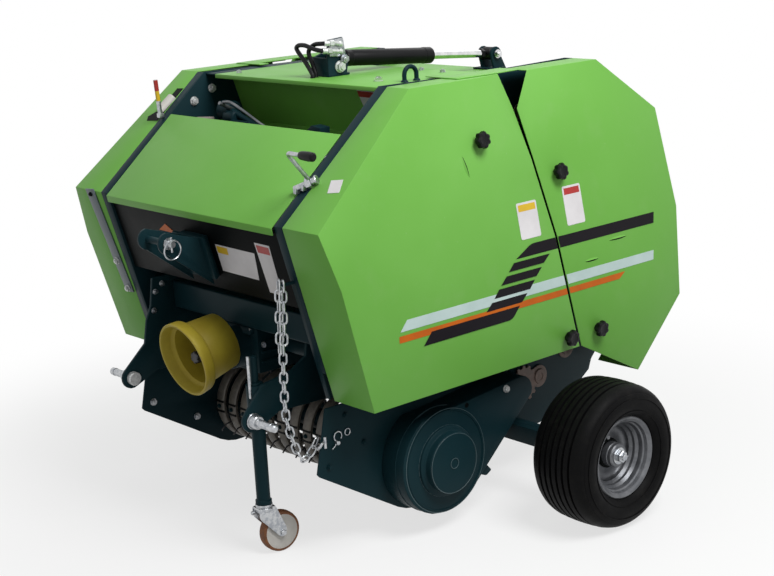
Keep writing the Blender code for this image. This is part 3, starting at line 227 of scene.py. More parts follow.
def finishes():
    grey = (0.1, 0.11, 0.1)
    # the highlight edge finish is a lighter teal for thin rings on the drive cover's edges: painted
    # highlights
    # the shaded green finish is a darker copy of the green paint, used on the twine box: painted shade
    return {"green": panel_paint(), "shaded green": paint("inner_green_paint", "green_paint", (0.165, 0.43,
            0.066), (0.13, 0.355, 0.052), 0.5, 0.0, dusty=0.1, specular=0.2), "teal": paint("frame_paint",
            "frame_paint", (0.0072, 0.029, 0.036), (0.0045, 0.02, 0.026), 0.42, 0.0, grey, 0.025, 0.08),
            "black": paint("black_paint", "black_paint", (0.0025, 0.0035, 0.0035), (0.0015, 0.0022, 0.0022),
            0.45, 0.0, grey, 0.02, 0.05), "strap": paint("strap_paint", "zinc_steel", (0.1, 0.13, 0.145),
            (0.07, 0.095, 0.108), 0.45, 0.1, grey, 0.1), "stripe black": plastic("stripe_black",
            "black_paint", (0.008, 0.006, 0.009), (0.006, 0.004, 0.007), 0.4, specular=0.1),
            "stripe white": plastic("stripe_white", "white_plastic", (0.58, 0.72, 0.7), (0.5, 0.65, 0.62),
            0.35), "stripe orange": plastic("stripe_orange", "red_paint", (0.64, 0.14, 0.006), (0.54, 0.11,
            0.005), 0.38, specular=0.2), "label white": plastic("label_white", "white_plastic", (0.76, 0.74,
            0.75), (0.66, 0.64, 0.65), 0.42), "label grey": plastic("label_grey", "white_plastic", (0.42,
            0.36, 0.34), (0.34, 0.29, 0.27), 0.45), "label yellow": plastic("label_yellow", "yellow_plastic",
            (0.75, 0.5, 0.02), (0.66, 0.42, 0.02), 0.42), "red": plastic("red_paint", "red_paint", (0.45,
            0.025, 0.02), (0.36, 0.02, 0.015), 0.4), "yellow": plastic("yellow_plastic", "yellow_plastic",
            (0.46, 0.37, 0.035), (0.38, 0.29, 0.028), 0.5, 260, specular=0.3),
            "white": plastic("white_plastic", "white_plastic", (0.62, 0.6, 0.56), (0.48, 0.46, 0.42), 0.45,
            180), "knob": plastic("black_plastic", "black_paint", (0.006, 0.006, 0.007), (0.004, 0.004,
            0.005), 0.36, specular=0.15), "hose": plastic("hose_rubber", "hose_rubber", (0.007, 0.007, 0.009),
            (0.004, 0.004, 0.005), 0.5, 900, specular=0.2), "tyre": tyre_rubber(), "rim": metal("rim_paint",
            "zinc_steel", (0.165, 0.17, 0.182), (0.105, 0.11, 0.12), 0.4, 0.6, 26),
            "zinc": metal("zinc_steel", "zinc_steel", (0.56, 0.57, 0.58), (0.34, 0.36, 0.39), 0.34, 0.9, 90,
            (0.16, 0.15, 0.13), (0.62, 0.8)), "bolt white": metal("white_zinc", "zinc_steel", (0.72, 0.73,
            0.73), (0.55, 0.56, 0.56), 0.4, 0.35, 90), "dark steel": metal("dark_steel", "roller_steel",
            (0.055, 0.055, 0.06), (0.025, 0.026, 0.029), 0.45, 0.6, 40), "highlight edge": paint("worn_edge",
            "frame_paint", (0.05, 0.09, 0.1), (0.035, 0.065, 0.075), 0.4, 0.0, grey, 0.1),
            "chrome": metal("chrome", "chrome", (0.8, 0.8, 0.8), (0.66, 0.67, 0.68), 0.16, 1.0, 40),
            "rollers": metal("roller_steel", "roller_steel", (0.2, 0.21, 0.22), (0.1, 0.11, 0.12), 0.45, 0.9,
            18, (0.09, 0.045, 0.02), (0.6, 0.8)), "bands": metal("band_steel", "band_steel", (0.13, 0.118,
            0.098), (0.075, 0.067, 0.058), 0.52, 0.25, 30, (0.14, 0.075, 0.035), (0.66, 0.86)),
            "bearing": metal("bearing_steel", "band_steel", (0.17, 0.115, 0.095), (0.1, 0.07, 0.058), 0.55,
            0.2, 40), "rust": metal("rusty_steel", "band_steel", (0.23, 0.085, 0.028), (0.13, 0.05, 0.02),
            0.68, 0.1, 60), }


FINISH = finishes()


# --- meshes -----------------------------------------------------------------
def placed(thing, finish, body, replaces=()):
    """Gives a finished piece its material and the body it rides on, and hides the CAD nodes it replaces."""
    coat = FINISH[finish]
    thing.data.materials.clear()
    thing.data.materials.append(coat.material)
    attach(thing, body)
    if replaces:
        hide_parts(*([replaces] if isinstance(replaces, str) else replaces))
    return thing


def baked(thing):
    """Replaces a piece by the plain mesh that its modifiers give."""
    graph = bpy.context.evaluated_depsgraph_get()
    mesh = bpy.data.meshes.new_from_object(thing.evaluated_get(graph))
    name = thing.name
    bpy.data.objects.remove(thing, do_unlink=True)
    return linked(name, mesh)


def linked(name, mesh):
    thing = bpy.data.objects.new(name, mesh)
    bpy.context.scene.collection.objects.link(thing)
    return thing


def rounded(thing, width, segments, angle=32):
    """Bevels the sharp edges of a mesh and shades it smooth between the others."""
    if width:
        edge = thing.modifiers.new("edges", 'BEVEL')
        edge.width, edge.segments = width, segments
        edge.limit_method, edge.angle_limit = 'ANGLE', radians(angle)
        edge.use_clamp_overlap = True
        edge.miter_outer = 'MITER_ARC'
        thing = baked(thing)
    thing.data.shade_smooth()
    thing.data.set_sharp_from_angle(angle=radians(angle))
    return thing


def piece(name, bm, finish, body, replaces=(), width=0.0, segments=2, angle=32):
    """Turns a bmesh in side-view coordinates into a piece of the machine."""
    bmesh.ops.remove_doubles(bm, verts=bm.verts, dist=1e-6)
    bmesh.ops.recalc_face_normals(bm, faces=bm.faces)
    bmesh.ops.translate(bm, verts=bm.verts, vec=(0, SHIFT, 0))
    mesh = bpy.data.meshes.new(name)
    bm.to_mesh(mesh)
    bm.free()
    thing = rounded(linked(name, mesh), width, segments, angle)
    thing.data.name = name
    return placed(thing, finish, body, replaces)


def turned(name, profile, centre, axis, steps, *rest, **more):
    """A piece that is one lathed shape."""
    bm = bmesh.new()
    lathe(bm, profile, centre, axis, steps)
    return piece(name, bm, *rest, **more)


def refined(node, finish, width=0.0012, segments=2, second=None, where=None):
    """A CAD node, triangles merged and edges rounded; faces where() picks take a second finish."""
    mesh = nodes[node].data.copy()
    bm = bmesh.new()
    bm.from_mesh(mesh)
    bmesh.ops.remove_doubles(bm, verts=bm.verts, dist=2e-5)
    bmesh.ops.dissolve_limit(bm, angle_limit=radians(1.0), verts=bm.verts, edges=bm.edges)
    bm.to_mesh(mesh)
    bm.free()
    thing = rounded(linked(node + "_shell", mesh), width, segments)
    thing = placed(thing, finish, BODY[node], node)
    if second:
        thing.data.materials.append(FINISH[second].material)
        for face in thing.data.polygons:
            if where(face.center - Vector((0, SHIFT, 0))):
                face.material_index = 1
    return thing


def lathe(bm, profile, centre, axis, steps=48, wave=None, start=0.0):
    """Turns (along, radius) points about an axis; wave(angle, along) scales the radius."""
    turn = Vector(axis).to_track_quat('Z', 'X').to_matrix().to_4x4()
    turn.translation = Vector(centre)
    rings = []
    for along, radius in profile:
        if radius < 1e-6:
            rings.append([bm.verts.new(turn @ Vector((0, 0, along)))])
            continue
        angles = [start + 2 * pi * i / steps for i in range(steps)]
        scale = [radius * (wave(a, along) if wave else 1) for a in angles]
        rings.append([bm.verts.new(turn @ Vector((r * cos(a), r * sin(a), along))) for a, r in zip(angles,
                scale)])
    if min(radius for _, radius in profile) > 1e-6:
        rings.append(rings[0])
    for ring, after in zip(rings, rings[1:]):
        for i in range(steps if max(len(ring), len(after)) > 1 else 0):
            j = (i + 1) % steps
            corners = (ring[i % len(ring)], ring[j % len(ring)], after[j % len(after)], after[i % len(after)])
            bm.faces.new(list(dict.fromkeys(corners)))


def rod(bm, start, end, radius, steps=20, edge=0.0008):
    """A round bar with chamfered ends."""
    run = Vector(end) - Vector(start)
    long = run.length
    lathe(bm, [(0, 0), (0, radius - edge), (edge, radius), (long - edge, radius), (long, radius - edge),
            (long, 0)], start, run, steps)


def prism(bm, corners, push):
    """A flat outline of 3D corners pushed along a vector into a solid."""
    base = [bm.verts.new(c) for c in corners]
    top = [bm.verts.new(Vector(c) + Vector(push)) for c in corners]
    count = len(base)
    bm.faces.new(base)
    bm.faces.new(list(reversed(top)))
    for i in range(count):
        j = (i + 1) % count
        bm.faces.new((base[j], base[i], top[i], top[j]))


def plate(bm, outline, x0, x1):
    """The (y, z) outline drawn from x0 to x1."""
    prism(bm, [(x0, y, z) for y, z in outline], (x1 - x0, 0, 0))


def block(bm, low, high):
    plate(bm, [(low[1], low[2]), (high[1], low[2]), (high[1], high[2]), (low[1], high[2])], low[0], high[0])


def tube(bm, points, radius, steps=12):
    """A round bar along points, its ends closed."""
    points = [Vector(p) for p in points]
    ways = [(b - a).normalized() for a, b in zip(points, points[1:])]
    ways = [ways[0]] + [(a + b).normalized() for a, b in zip(ways, ways[1:])] + [ways[-1]]
    side = ways[0].orthogonal().normalized()
    rings = []
    for point, way in zip(points, ways):
        side = (side - way * side.dot(way)).normalized()
        other = way.cross(side)
        angles = [2 * pi * i / steps for i in range(steps)]
        rings.append([bm.verts.new(point + (side * cos(a) + other * sin(a)) * radius) for a in angles])
    for ring, after in zip(rings, rings[1:]):
        for i in range(steps):
            j = (i + 1) % steps
            bm.faces.new((ring[i], ring[j], after[j], after[i]))
    bm.faces.new(list(reversed(rings[0])))
    bm.faces.new(rings[-1])


def smooth_line(route, pieces=4):
    """Points on a smooth curve through the route's points."""
    route = [Vector(p) for p in route]
    ends = [route[0] * 2 - route[1], *route, route[-1] * 2 - route[-2]]
    points = []
    for a, b, c, d in zip(ends, ends[1:], ends[2:], ends[3:]):
        for i in range(pieces):
            t = i / pieces
            square, cube = 2 * a - 5 * b + 4 * c - d, 3 * b - a - 3 * c + d
            points.append(0.5 * (2 * b + (c - a) * t + square * t ** 2 + cube * t ** 3))
    return points + [route[-1]]


def arc(centre, radius, start, end, steps):
    """(y, z) points along an arc, angles in degrees from +Y towards +Z."""
    return [(centre[0] + radius * cos(radians(a)), centre[1] + radius * sin(radians(a)))
            for a in (start + (end - start) * i / steps for i in range(steps + 1))]


def between(a, b, share):
    return tuple(p + (q - p) * share for p, q in zip(a, b))


def slope_z(y):
    """Height of the slanted front sheets at y."""
    return at_height(FRONT_TOP[::-1], FRONT_NOSE[::-1], y)[0]


def at_height(a, b, z):
    return between(a, b, (z - a[1]) / (b[1] - a[1]))


# --- repeated pieces ---------------------------------------------------------
def geometry_tree(name, inputs):
    tree = bpy.data.node_groups.new(name, 'GeometryNodeTree')
    tree.interface.new_socket("Geometry", in_out='INPUT', socket_type='NodeSocketGeometry')
    for label, kind in inputs:
        tree.interface.new_socket(label, in_out='INPUT', socket_type="NodeSocket" + kind)
    tree.interface.new_socket("Geometry", in_out='OUTPUT', socket_type='NodeSocketGeometry')
    made = Tree(tree)
    entry = tree.nodes.new("NodeGroupInput")
    return made, {socket.name: Value(made, socket) for socket in entry.outputs if socket.name}


def finish_tree(made, instances, material):
    real = made.add("GeometryNodeRealizeInstances", sockets={0: instances})
    painted = made.add("GeometryNodeSetMaterial", sockets={"Geometry": real, "Material": material})
    leave = made.tree.nodes.new("NodeGroupOutput")
    made.tree.links.new(painted.socket, leave.inputs[0])
    return made.tree


def bolt_tree():
    """Hexagon heads with washers on every point, each turned to its facing attribute."""
    made, given = geometry_tree("bolt_heads", [("Head radius", "Float"), ("Head height", "Float"),
            ("Washer radius", "Float"), ("Washer height", "Float"), ("Finish", "Material")])
    lift = made.add("ShaderNodeCombineXYZ", sockets={2: given["Head height"] * 0.5 + given["Washer height"]})
    hexagon = made.add("GeometryNodeMeshCylinder", {"fill_type": 'NGON'}, {"Vertices": 6,
            "Radius": given["Head radius"], "Depth": given["Head height"]})
    hexagon = made.add("GeometryNodeTransform", sockets={"Geometry": hexagon, "Translation": lift})
    tip_lift = made.add("ShaderNodeCombineXYZ",
            sockets={2: given["Head height"] * 1.2 + given["Washer height"]})
    tip = made.add("GeometryNodeMeshCylinder", {"fill_type": 'NGON'}, {"Vertices": 12,
            "Radius": given["Head radius"] * 0.55, "Depth": given["Head height"] * 0.4})
    tip = made.add("GeometryNodeTransform", sockets={"Geometry": tip, "Translation": tip_lift})
    washer = made.add("GeometryNodeMeshCylinder", {"fill_type": 'NGON'}, {"Vertices": 18,
            "Radius": given["Washer radius"], "Depth": given["Washer height"] * 2})
    head = made.add("GeometryNodeJoinGeometry", sockets={0: [hexagon, tip, washer]})
    facing = made.add("GeometryNodeInputNamedAttribute", {"data_type": 'FLOAT_VECTOR'}, {"Name": "facing"})
    turned = made.add("FunctionNodeAlignRotationToVector", {"axis": 'Z'}, {"Vector": facing})
    heads = made.add("GeometryNodeInstanceOnPoints", sockets={"Points": given["Geometry"], "Instance": head,
            "Rotation": turned})
    return finish_tree(made, heads, given["Finish"])


def chain_tree():
    """Long links along a line, every second one turned a quarter."""
    made, given = geometry_tree("chain_links", [("Pitch", "Float"), ("Link length", "Float"), ("Link width",
            "Float"), ("Wire radius", "Float"), ("Finish", "Material")])
    line = made.add("GeometryNodeMeshToCurve", sockets={0: given["Geometry"]})
    points = made.tree.nodes.new("GeometryNodeCurveToPoints")
    points.mode = 'LENGTH'
    made.tree.links.new(line.socket, points.inputs["Curve"])
    made.tree.links.new(given["Pitch"].socket, points.inputs["Length"])
    outline = made.add("GeometryNodeCurvePrimitiveQuadrilateral", {"mode": 'RECTANGLE'},
            {"Width": given["Link width"], "Height": given["Link length"]})
    outline = made.add("GeometryNodeFilletCurve", {"mode": 'POLY'}, {"Curve": outline, "Count": 4,
            "Radius": given["Link width"] * 0.49})
    wire = made.add("GeometryNodeCurvePrimitiveCircle", sockets={"Resolution": 7,
            "Radius": given["Wire radius"]})
    link = made.add("GeometryNodeCurveToMesh", sockets={"Curve": outline, "Profile Curve": wire})
    link = made.add("GeometryNodeTransform", sockets={"Geometry": link, "Rotation": (radians(90), 0,
            radians(20))})
    count = made.add("GeometryNodeInputIndex")
    odd = made.add("ShaderNodeMath", {"operation": 'MODULO'}, {0: count, 1: 2.0})
    quarter = made.add("ShaderNodeCombineXYZ", sockets={2: odd * radians(90)})
    turned = made.add("FunctionNodeRotateRotation", {"rotation_space": 'LOCAL'}, {0: Value(made,
            points.outputs["Rotation"]), 1: quarter})
    links = made.add("GeometryNodeInstanceOnPoints", sockets={"Points": Value(made, points.outputs["Points"]),
            "Instance": link, "Rotation": turned})
    return finish_tree(made, links, given["Finish"])


def row_tree():
    """One source piece on every point, turned by the turn attribute."""
    made, given = geometry_tree("repeated_pieces", [("Piece", "Object"), ("Size", "Float"), ("Finish",
            "Material")])
    source = made.add("GeometryNodeObjectInfo", sockets={"Object": given["Piece"]}, output=-1)
    turn = made.add("GeometryNodeInputNamedAttribute", {"data_type": 'FLOAT_VECTOR'}, {"Name": "facing"})
    turn = made.add("FunctionNodeEulerToRotation", sockets={0: turn})
    row = made.add("GeometryNodeInstanceOnPoints", sockets={"Points": given["Geometry"], "Instance": source,
            "Rotation": turn, "Scale": given["Size"]})
    return finish_tree(made, row, given["Finish"])


TREES = {"bolts": bolt_tree(), "chain": chain_tree(), "row": row_tree()}


def grown(name, tree, points, finish, body, edges=(), facing=None, **sizes):
    """Runs a geometry tree on points and returns its plain mesh, not yet riding if body is None."""
    mesh = bpy.data.meshes.new(name + "_points")
    mesh.from_pydata([Vector(p) + Vector((0, SHIFT, 0)) for p in points], list(edges), [])
    if facing:
        ways = mesh.attributes.new("facing", 'FLOAT_VECTOR', 'POINT')
        ways.data.foreach_set("vector", [c for way in facing for c in way])
    thing = linked(name, mesh)
    step = thing.modifiers.new("tree", 'NODES')
    step.node_group = TREES[tree]
    values = {"Finish": FINISH[finish].material, **{key.replace("_", " "): value for key,
            value in sizes.items()}}
    for socket in TREES[tree].interface.items_tree:
        if socket.in_out == 'INPUT' and socket.name in values:
            step[socket.identifier] = values[socket.name]
    thing = baked(thing)
    if "facing" in thing.data.attributes:
        thing.data.attributes.remove(thing.data.attributes["facing"])
    thing.data.shade_smooth()
    thing.data.set_sharp_from_angle(angle=radians(35))
    return placed(thing, finish, body) if body else thing


def row_of(name, bm, places, finish, body, replaces=(), width=0.0):
    """Repeats a small source mesh at (point, Euler) places as one piece."""
    bmesh.ops.remove_doubles(bm, verts=bm.verts, dist=1e-6)
    bmesh.ops.recalc_face_normals(bm, faces=bm.faces)
    mesh = bpy.data.meshes.new(name + "_one")
    bm.to_mesh(mesh)
    bm.free()
    source = rounded(linked(name + "_one", mesh), width, 2)
    thing = grown(name, "row", [p for p, _ in places], finish, None, facing=[t for _, t in places],
            Piece=source, Size=1.0)
    bpy.data.objects.remove(source, do_unlink=True)
    return placed(thing, finish, body, replaces)


bolt_places = {}


def bolt(body, place, facing, size="M10", finish="zinc"):
    """Notes a bolt head; all of one size on a body become one piece."""
    bolt_places.setdefault((body, size, finish), []).append((place, facing))


BOLT_SIZES = {"M6": (0.0058, 0.004, 0.007, 0.001), "M8": (0.0075, 0.005, 0.009, 0.0012), "M10": (0.0095,
        0.0065, 0.011, 0.0015), "M12": (0.011, 0.0075, 0.0135, 0.002), "M16": (0.014, 0.01, 0.017, 0.0025)}


def make_bolts():
    for (body, size, finish), places in bolt_places.items():
        radius, height, washer, thick = BOLT_SIZES[size]
        grown(f"bolts_{size}_{finish}_{body}".replace(" ", "_"), "bolts", [p for p, _ in places], finish,
                body, facing=[f for _, f in places], Head_radius=radius, Head_height=height,
                Washer_radius=washer, Washer_height=thick)


# --- places on the sheet metal -----------------------------------------------
def guard_point(side, y, z, lift=0.0):
    """A point on the outer face of a side guard, lifted off it."""
    if z > CREASE_Z:
        x, slope = CREASE_HALF - LEAN_UP * (z - CREASE_Z), LEAN_UP
    else:
        x, slope = CREASE_HALF - LEAN_DOWN * (CREASE_Z - z), -LEAN_DOWN
    normal = Vector((1, 0, slope)).normalized()
    place = Vector((x, y, z)) + normal * lift
    return Vector((side * place.x, place.y, place.z))


def guard_normal(side, z):
    slope = LEAN_UP if z > CREASE_Z else -LEAN_DOWN
    return Vector((side, 0, slope)).normalized()


def split_y(z):
    """Y of the front edge of the gap between the guards at height z."""
    line = [SPLIT_LOW, SPLIT_CREASE, SPLIT_BEND, SPLIT_HIGH]
    for a, b in zip(line, line[1:]):
        if z <= b[1]:
            return at_height(a, b, z)[0]
    return SPLIT_HIGH[0]


def clipped(outline, front):
    """The part of a (y, z) outline in front of or behind the gap between the guards."""
    def depth(p):
        return split_y(p[1]) - 0.0015 - p[0] if front else p[0] - split_y(p[1]) - SPLIT - 0.0015
    kept = []
    for a, b in zip(outline, outline[1:] + outline[:1]):
        da, db = depth(a), depth(b)
        if da >= 0:
            kept.append(a)
        if (da > 0) != (db > 0):
            kept.append(between(a, b, da / (da - db)))
    return kept


def rounded_outline(outline, radii, steps=4):
    """An outline whose corners take the given radii."""
    result = []
    count = len(outline)
    for i, corner in enumerate(outline):
        r = radii[i % len(radii)]
        if not r:
            result.append(corner)
            continue
        here = Vector(corner)
        a, b = Vector(outline[i - 1]) - here, Vector(outline[(i + 1) % count]) - here
        reach_a, reach_b = here + a.normalized() * r, here + b.normalized() * r
        for k in range(steps + 1):
            t = k / steps
            result.append(tuple(reach_a * (1 - t) ** 2 + here * 2 * t * (1 - t) + reach_b * t ** 2))
    return result


def sticker(name, outline, side, finish, lift=0.0, front=None, thick=0.0005):
    """A thin film on a side guard; front None means it crosses the gap and is split there."""
    for is_front in ((True, False) if front is None else (front,)):
        part = clipped(outline, is_front) if front is None else outline
        if len(part) < 3:
            continue
        bm = bmesh.new()
        base = [guard_point(side, y, z, lift + 0.0003) for y, z in part]
        prism(bm, base, guard_normal(side, part[0][1] - 1e-4) * thick)
        end = "front" if is_front else "rear"
        label = "left" if side > 0 else "right"
        piece(f"{name}_{end}_{label}", bm, finish, f"{end}_guard_{label}")


def stripes(side):
    sticker("upper_stripe", rounded_outline([(0.007, 0.7492), (0.588, 0.7492), (0.588, 0.7824), (0.066,
            0.7824)], [0, 0, 0, 0.014]), side, "stripe black")
    bars = [((-0.002, 0.139), (-0.022, 0.116), 0.719, 0.7405), ((-0.031, 0.107), (-0.052, 0.086), 0.687,
            0.7085), ((-0.061, 0.079), (-0.079, 0.06), 0.655, 0.6775), ((-0.088, 0.049), (-0.11, 0.028),
            0.624, 0.6455)]
    for i, (top, low, z0, z1) in enumerate(bars):
        sticker(f"slanted_bar_{i}", [(low[0], z0), (low[1], z0), (top[1], z1), (top[0], z1)], side,
                "stripe black", 0.0006, True)
    sticker("long_bar", rounded_outline([(-0.34, 0.582), (-0.01, 0.582), (0.019, 0.6155), (-0.311, 0.6155)],
            [0, 0.016, 0, 0]), side, "stripe black", 0.0006, True)
    sticker("white_stripe", [(-0.42, 0.637), (0.59, 0.637), (0.59, 0.666), (-0.396, 0.666)], side,
            "stripe white")
    sticker("orange_stripe", [(-0.424, 0.608), (0.437, 0.608), (0.461, 0.626), (-0.424, 0.626)], side,
            "stripe orange")


def side_labels(side):
    for name, y0, y1, z0, z1, head, front in (("front", 0.032, 0.11, 0.797, 0.896, "label yellow", True),
            ("rear", 0.219, 0.293, 0.804, 0.913, "red", False)):
        radii = [0.006]
        sticker(name + "_label", rounded_outline([(y0, z0), (y1, z0), (y1, z1), (y0, z1)], radii), side,
                "label white", 0, front)
        sticker(name + "_label_head", [(y0 + 0.006, z1 - 0.024), (y1 - 0.006, z1 - 0.024), (y1 - 0.006,
                z1 - 0.006), (y0 + 0.006, z1 - 0.006)], side, head, 0.0005, front, 0.0003)


def knobs(side):
    """Lobed clamping knobs that hold the guards shut."""
    label = "left" if side > 0 else "right"
    for end, places in (("front", ((-0.068, 1.08), (0.212, 0.482))), ("rear", ((0.208, 0.956), (0.338,
            0.482)))):
        bm = bmesh.new()
        profile = [(0.0, 0), (0.0, 0.0105), (0.01, 0.0105), (0.012, 0.0215), (0.0155, 0.0232), (0.024,
                0.0232), (0.0275, 0.0215), (0.029, 0.0165), (0.0275, 0.012), (0.0275, 0)]
        lathe(bm, profile, (0, 0, 0), (0, 0, 1), 56, lambda a, along: 1 + (0.085 * cos(7 * a) - 0.03
                if along > 0.011 else 0))
        spots = [(guard_point(side, y, z, 0.0003), guard_normal(side, z).to_track_quat('Z', 'Y').to_euler())
                for y, z in places]
        row_of(f"knobs_{end}_{label}", bm, spots, "knob", f"{end}_guard_{label}")


def slits(side):
    """Pressed louvres: a small hood over a black strip of painted shade in the opening."""
    label = "left" if side > 0 else "right"
    spots = [("rear", (0.286, 0.688), (0.346, 0.688)), ("rear", (0.389, 0.732), (0.468, 0.732)), ("front",
            (-0.134, 1.05), (-0.119, 0.99))]
    for i, (end, a, b) in enumerate(spots):
        run = (Vector(b) - Vector(a)).normalized()
        across = Vector((run.y, -run.x)) if end == "front" else Vector((0, 1))
        body = f"{end}_guard_{label}"
        # the black slot strip under each hood is painted shade in the louvre's opening
        for name, finish, low, high, lift in (("slot", "black", -0.004, 0.002, 0.0002), ("hood", "green",
                0.001, 0.006, 0.003)):
            bm = bmesh.new()
            steps = 8
            rows = []
            for k in range(steps + 1):
                t = k / steps
                swell = sin(pi * t) ** 0.6
                here = Vector(a).lerp(Vector(b), t)
                inner, outer = here + across * low * swell, here + across * high * swell
                rows.append((guard_point(side, *inner, lift * swell), guard_point(side, *outer, 0.0001)))
            quads = [(bm.verts.new(p), bm.verts.new(q)) for p, q in rows]
            for (p0, q0), (p1, q1) in zip(quads, quads[1:]):
                bm.faces.new((p0, p1, q1, q0))
            bmesh.ops.solidify(bm, geom=bm.faces[:], thickness=0.0004)
            piece(f"louvre_{name}_{i}_{label}", bm, finish, body)


# --- wheels -------------------------------------------------------------------
def tyre_profile():
    """Half round section: bead, sidewall with a line at the shoulder, and a ribbed tread."""
    side = [(-0.072, 0.1037), (-0.0735, 0.112), (-0.077, 0.1178), (-0.079, 0.1175), (-0.086, 0.1225), (-0.093,
            0.131), (-0.0975, 0.142), (-0.099, 0.154), (-0.0975, 0.166), (-0.0945, 0.176), (-0.0922, 0.1806),
            (-0.0905, 0.1812), (-0.0895, 0.184), (-0.088, 0.187), (-0.082, 0.1925), (-0.074, 0.1972), (-0.066,
            0.1998)]
    tread = []
    for centre in (-0.052, -0.031, -0.0105, 0.0105, 0.031, 0.052):
        crown = 0.2049 - 0.0045 * (centre / 0.066) ** 2
        for offset, drop in ((-0.004, 0), (-0.0027, 0.0062), (0.0027, 0.0062), (0.004, 0)):
            tread.append((centre + offset, crown - drop))
    return side + tread + [(-along, radius) for along, radius in reversed(side)]


def rim_profile():
    """Pressed rim: flange, stepped well, dished disc and hub tube, with the back wall behind."""
    front = [(0.0705, 0.1025), (0.0712, 0.112), (0.074, 0.1158), (0.078, 0.1158), (0.08, 0.113), (0.0785,
            0.1085), (0.076, 0.106), (0.073, 0.1015), (0.064, 0.0985), (0.061, 0.095), (0.056, 0.0935),
            (0.048, 0.0932), (0.044, 0.09), (0.04, 0.087), (0.032, 0.0866), (0.028, 0.0835), (0.024, 0.08),
            (0.017, 0.079), (0.011, 0.075), (0.008, 0.069), (0.0075, 0.056), (0.01, 0.048), (0.012, 0.04),
            (0.014, 0.0365), (0.018, 0.035), (0.04, 0.0345), (0.042, 0.0325), (0.044, 0.0325), (0.0455,
            0.034), (0.053, 0.0335), (0.0555, 0.031), (0.056, 0)]
    back = [(-0.078, 0), (-0.078, 0.033), (0.004, 0.036), (0.002, 0.07), (0.01, 0.083), (-0.048, 0.09),
            (-0.07, 0.0985), (-0.078, 0.113), (-0.076, 0.1158), (-0.0712, 0.112), (-0.0705, 0.1025)]
    return front, back


def wheel(label, side):
    centre, axis = (side * WHEEL_X, WHEEL_Y, WHEEL_Z), (side, 0, 0)
    body = "wheel_" + label
    bm = bmesh.new()
    lathe(bm, tyre_profile(), centre, axis, 96)
    for radius in (0.1335, 0.169):
        along = 0.0953 if radius < 0.15 else 0.0979
        for sign in (1, -1):
            bead = arc((sign * along, radius), 0.0012, 0, 360, 6)[:-1]
            lathe(bm, bead, centre, axis, 96)
    piece("tyre_tread_" + label, bm, "tyre", body, "tyre_" + label, angle=38)
    bm = bmesh.new()
    front, back = rim_profile()
    lathe(bm, front + back, centre, axis, 72)
    stem = [(0, 0), (0, 0.0045), (0.018, 0.0045), (0.019, 0.0055), (0.027, 0.0055), (0.028, 0.0035), (0.028,
            0)]
    lathe(bm, stem, (side * (WHEEL_X + 0.045), WHEEL_Y - 0.055, WHEEL_Z + 0.07), (side, -0.15, 0.1), 12)
    piece("rim_disc_" + label, bm, "rim", body, "rim_" + label, angle=30)
    bm = bmesh.new()
    lathe(bm, [(0.056, 0), (0.056, 0.0235), (0.0585, 0.0235), (0.0585, 0)], centre, axis, 32)
    lathe(bm, [(0.0585, 0), (0.0585, 0.0165), (0.0595, 0.0175), (0.0715, 0.0175), (0.073, 0.016), (0.073, 0)],
            centre, axis, 6)
    lathe(bm, [(0.073, 0), (0.073, 0.0095), (0.079, 0.0095), (0.08, 0.008), (0.08, 0)], centre, axis, 20)
    rod(bm, (side * (WHEEL_X + 0.0765), WHEEL_Y - 0.016, WHEEL_Z), (side * (WHEEL_X + 0.0765),
            WHEEL_Y + 0.016, WHEEL_Z), 0.0016, 8)
    piece("hub_nut_" + label, bm, "zinc", body, angle=25)
    turned("hub_seal_" + label, [(0.015, 0.0352), (0.015, 0.042), (0.021, 0.042), (0.023, 0.04), (0.023,
            0.0352)], centre, axis, 40, "black", body)


# --- drive ---------------------------------------------------------------------
def drive_guard():
    """Drooping funnel over the input shaft, with a ledge inside its wider mouth."""
    tilt = radians(FUNNEL_TILT)
    run = Vector((0, -cos(tilt), -sin(tilt)))
    bm = bmesh.new()
    profile = [(0, 0.054), (0, 0.079), (0.002, 0.0815), (0.06, 0.087), (0.093, 0.09), (0.0965, 0.0885),
            (0.0985, 0.0866), (0.101, 0.0866), (0.1035, 0.0985), (0.106, 0.1035), (0.109, 0.1053), (0.13,
            0.1075), (0.137, 0.1078), (0.1398, 0.106), (0.1396, 0.101), (0.136, 0.0985), (0.112, 0.0958),
            (0.106, 0.0925), (0.102, 0.085), (0.096, 0.0848), (0.04, 0.0812), (0.006, 0.078), (0.0042, 0.074),
            (0.004, 0.054)]
    lathe(bm, profile, FUNNEL_AT, run, 96)
    piece("drive_guard_shell", bm, "yellow", "frame", "pto_guard", angle=50)
    turned("drive_guard_back", [(0.0046, 0.056), (0.0046, 0.074), (0.0056, 0.0735), (0.0056, 0.0565)],
            FUNNEL_AT, run, 48, "black", "frame")
    bm = bmesh.new()
    profile = [(0, 0), (0, 0.03), (0.006, 0.03), (0.007, 0.022), (0.02, 0.022), (0.021, 0)]
    lathe(bm, profile, (0, BOSS_Y - 0.0005, PTO_Z), (0, -1, 0), 40)
    piece("input_shaft_seal", bm, "black", "input_shaft")
    bm = bmesh.new()

    def spline(angle, along):
        return 0.86 if cos(6 * angle) < -0.1 and along > 0.03 else 1.0
    profile = [(0.018, 0), (0.018, 0.0175), (0.079, 0.0175), (0.081, 0.0148), (0.0885, 0.0148), (0.0905,
            0.0175), (0.1135, 0.0175), (0.116, 0.015), (0.116, 0)]
    lathe(bm, profile, (0, BOSS_Y - 0.0003, PTO_Z), (0, -1, 0), 72, spline)
    piece("splined_shaft", bm, "dark steel", "input_shaft", "pto_shaft", angle=25)


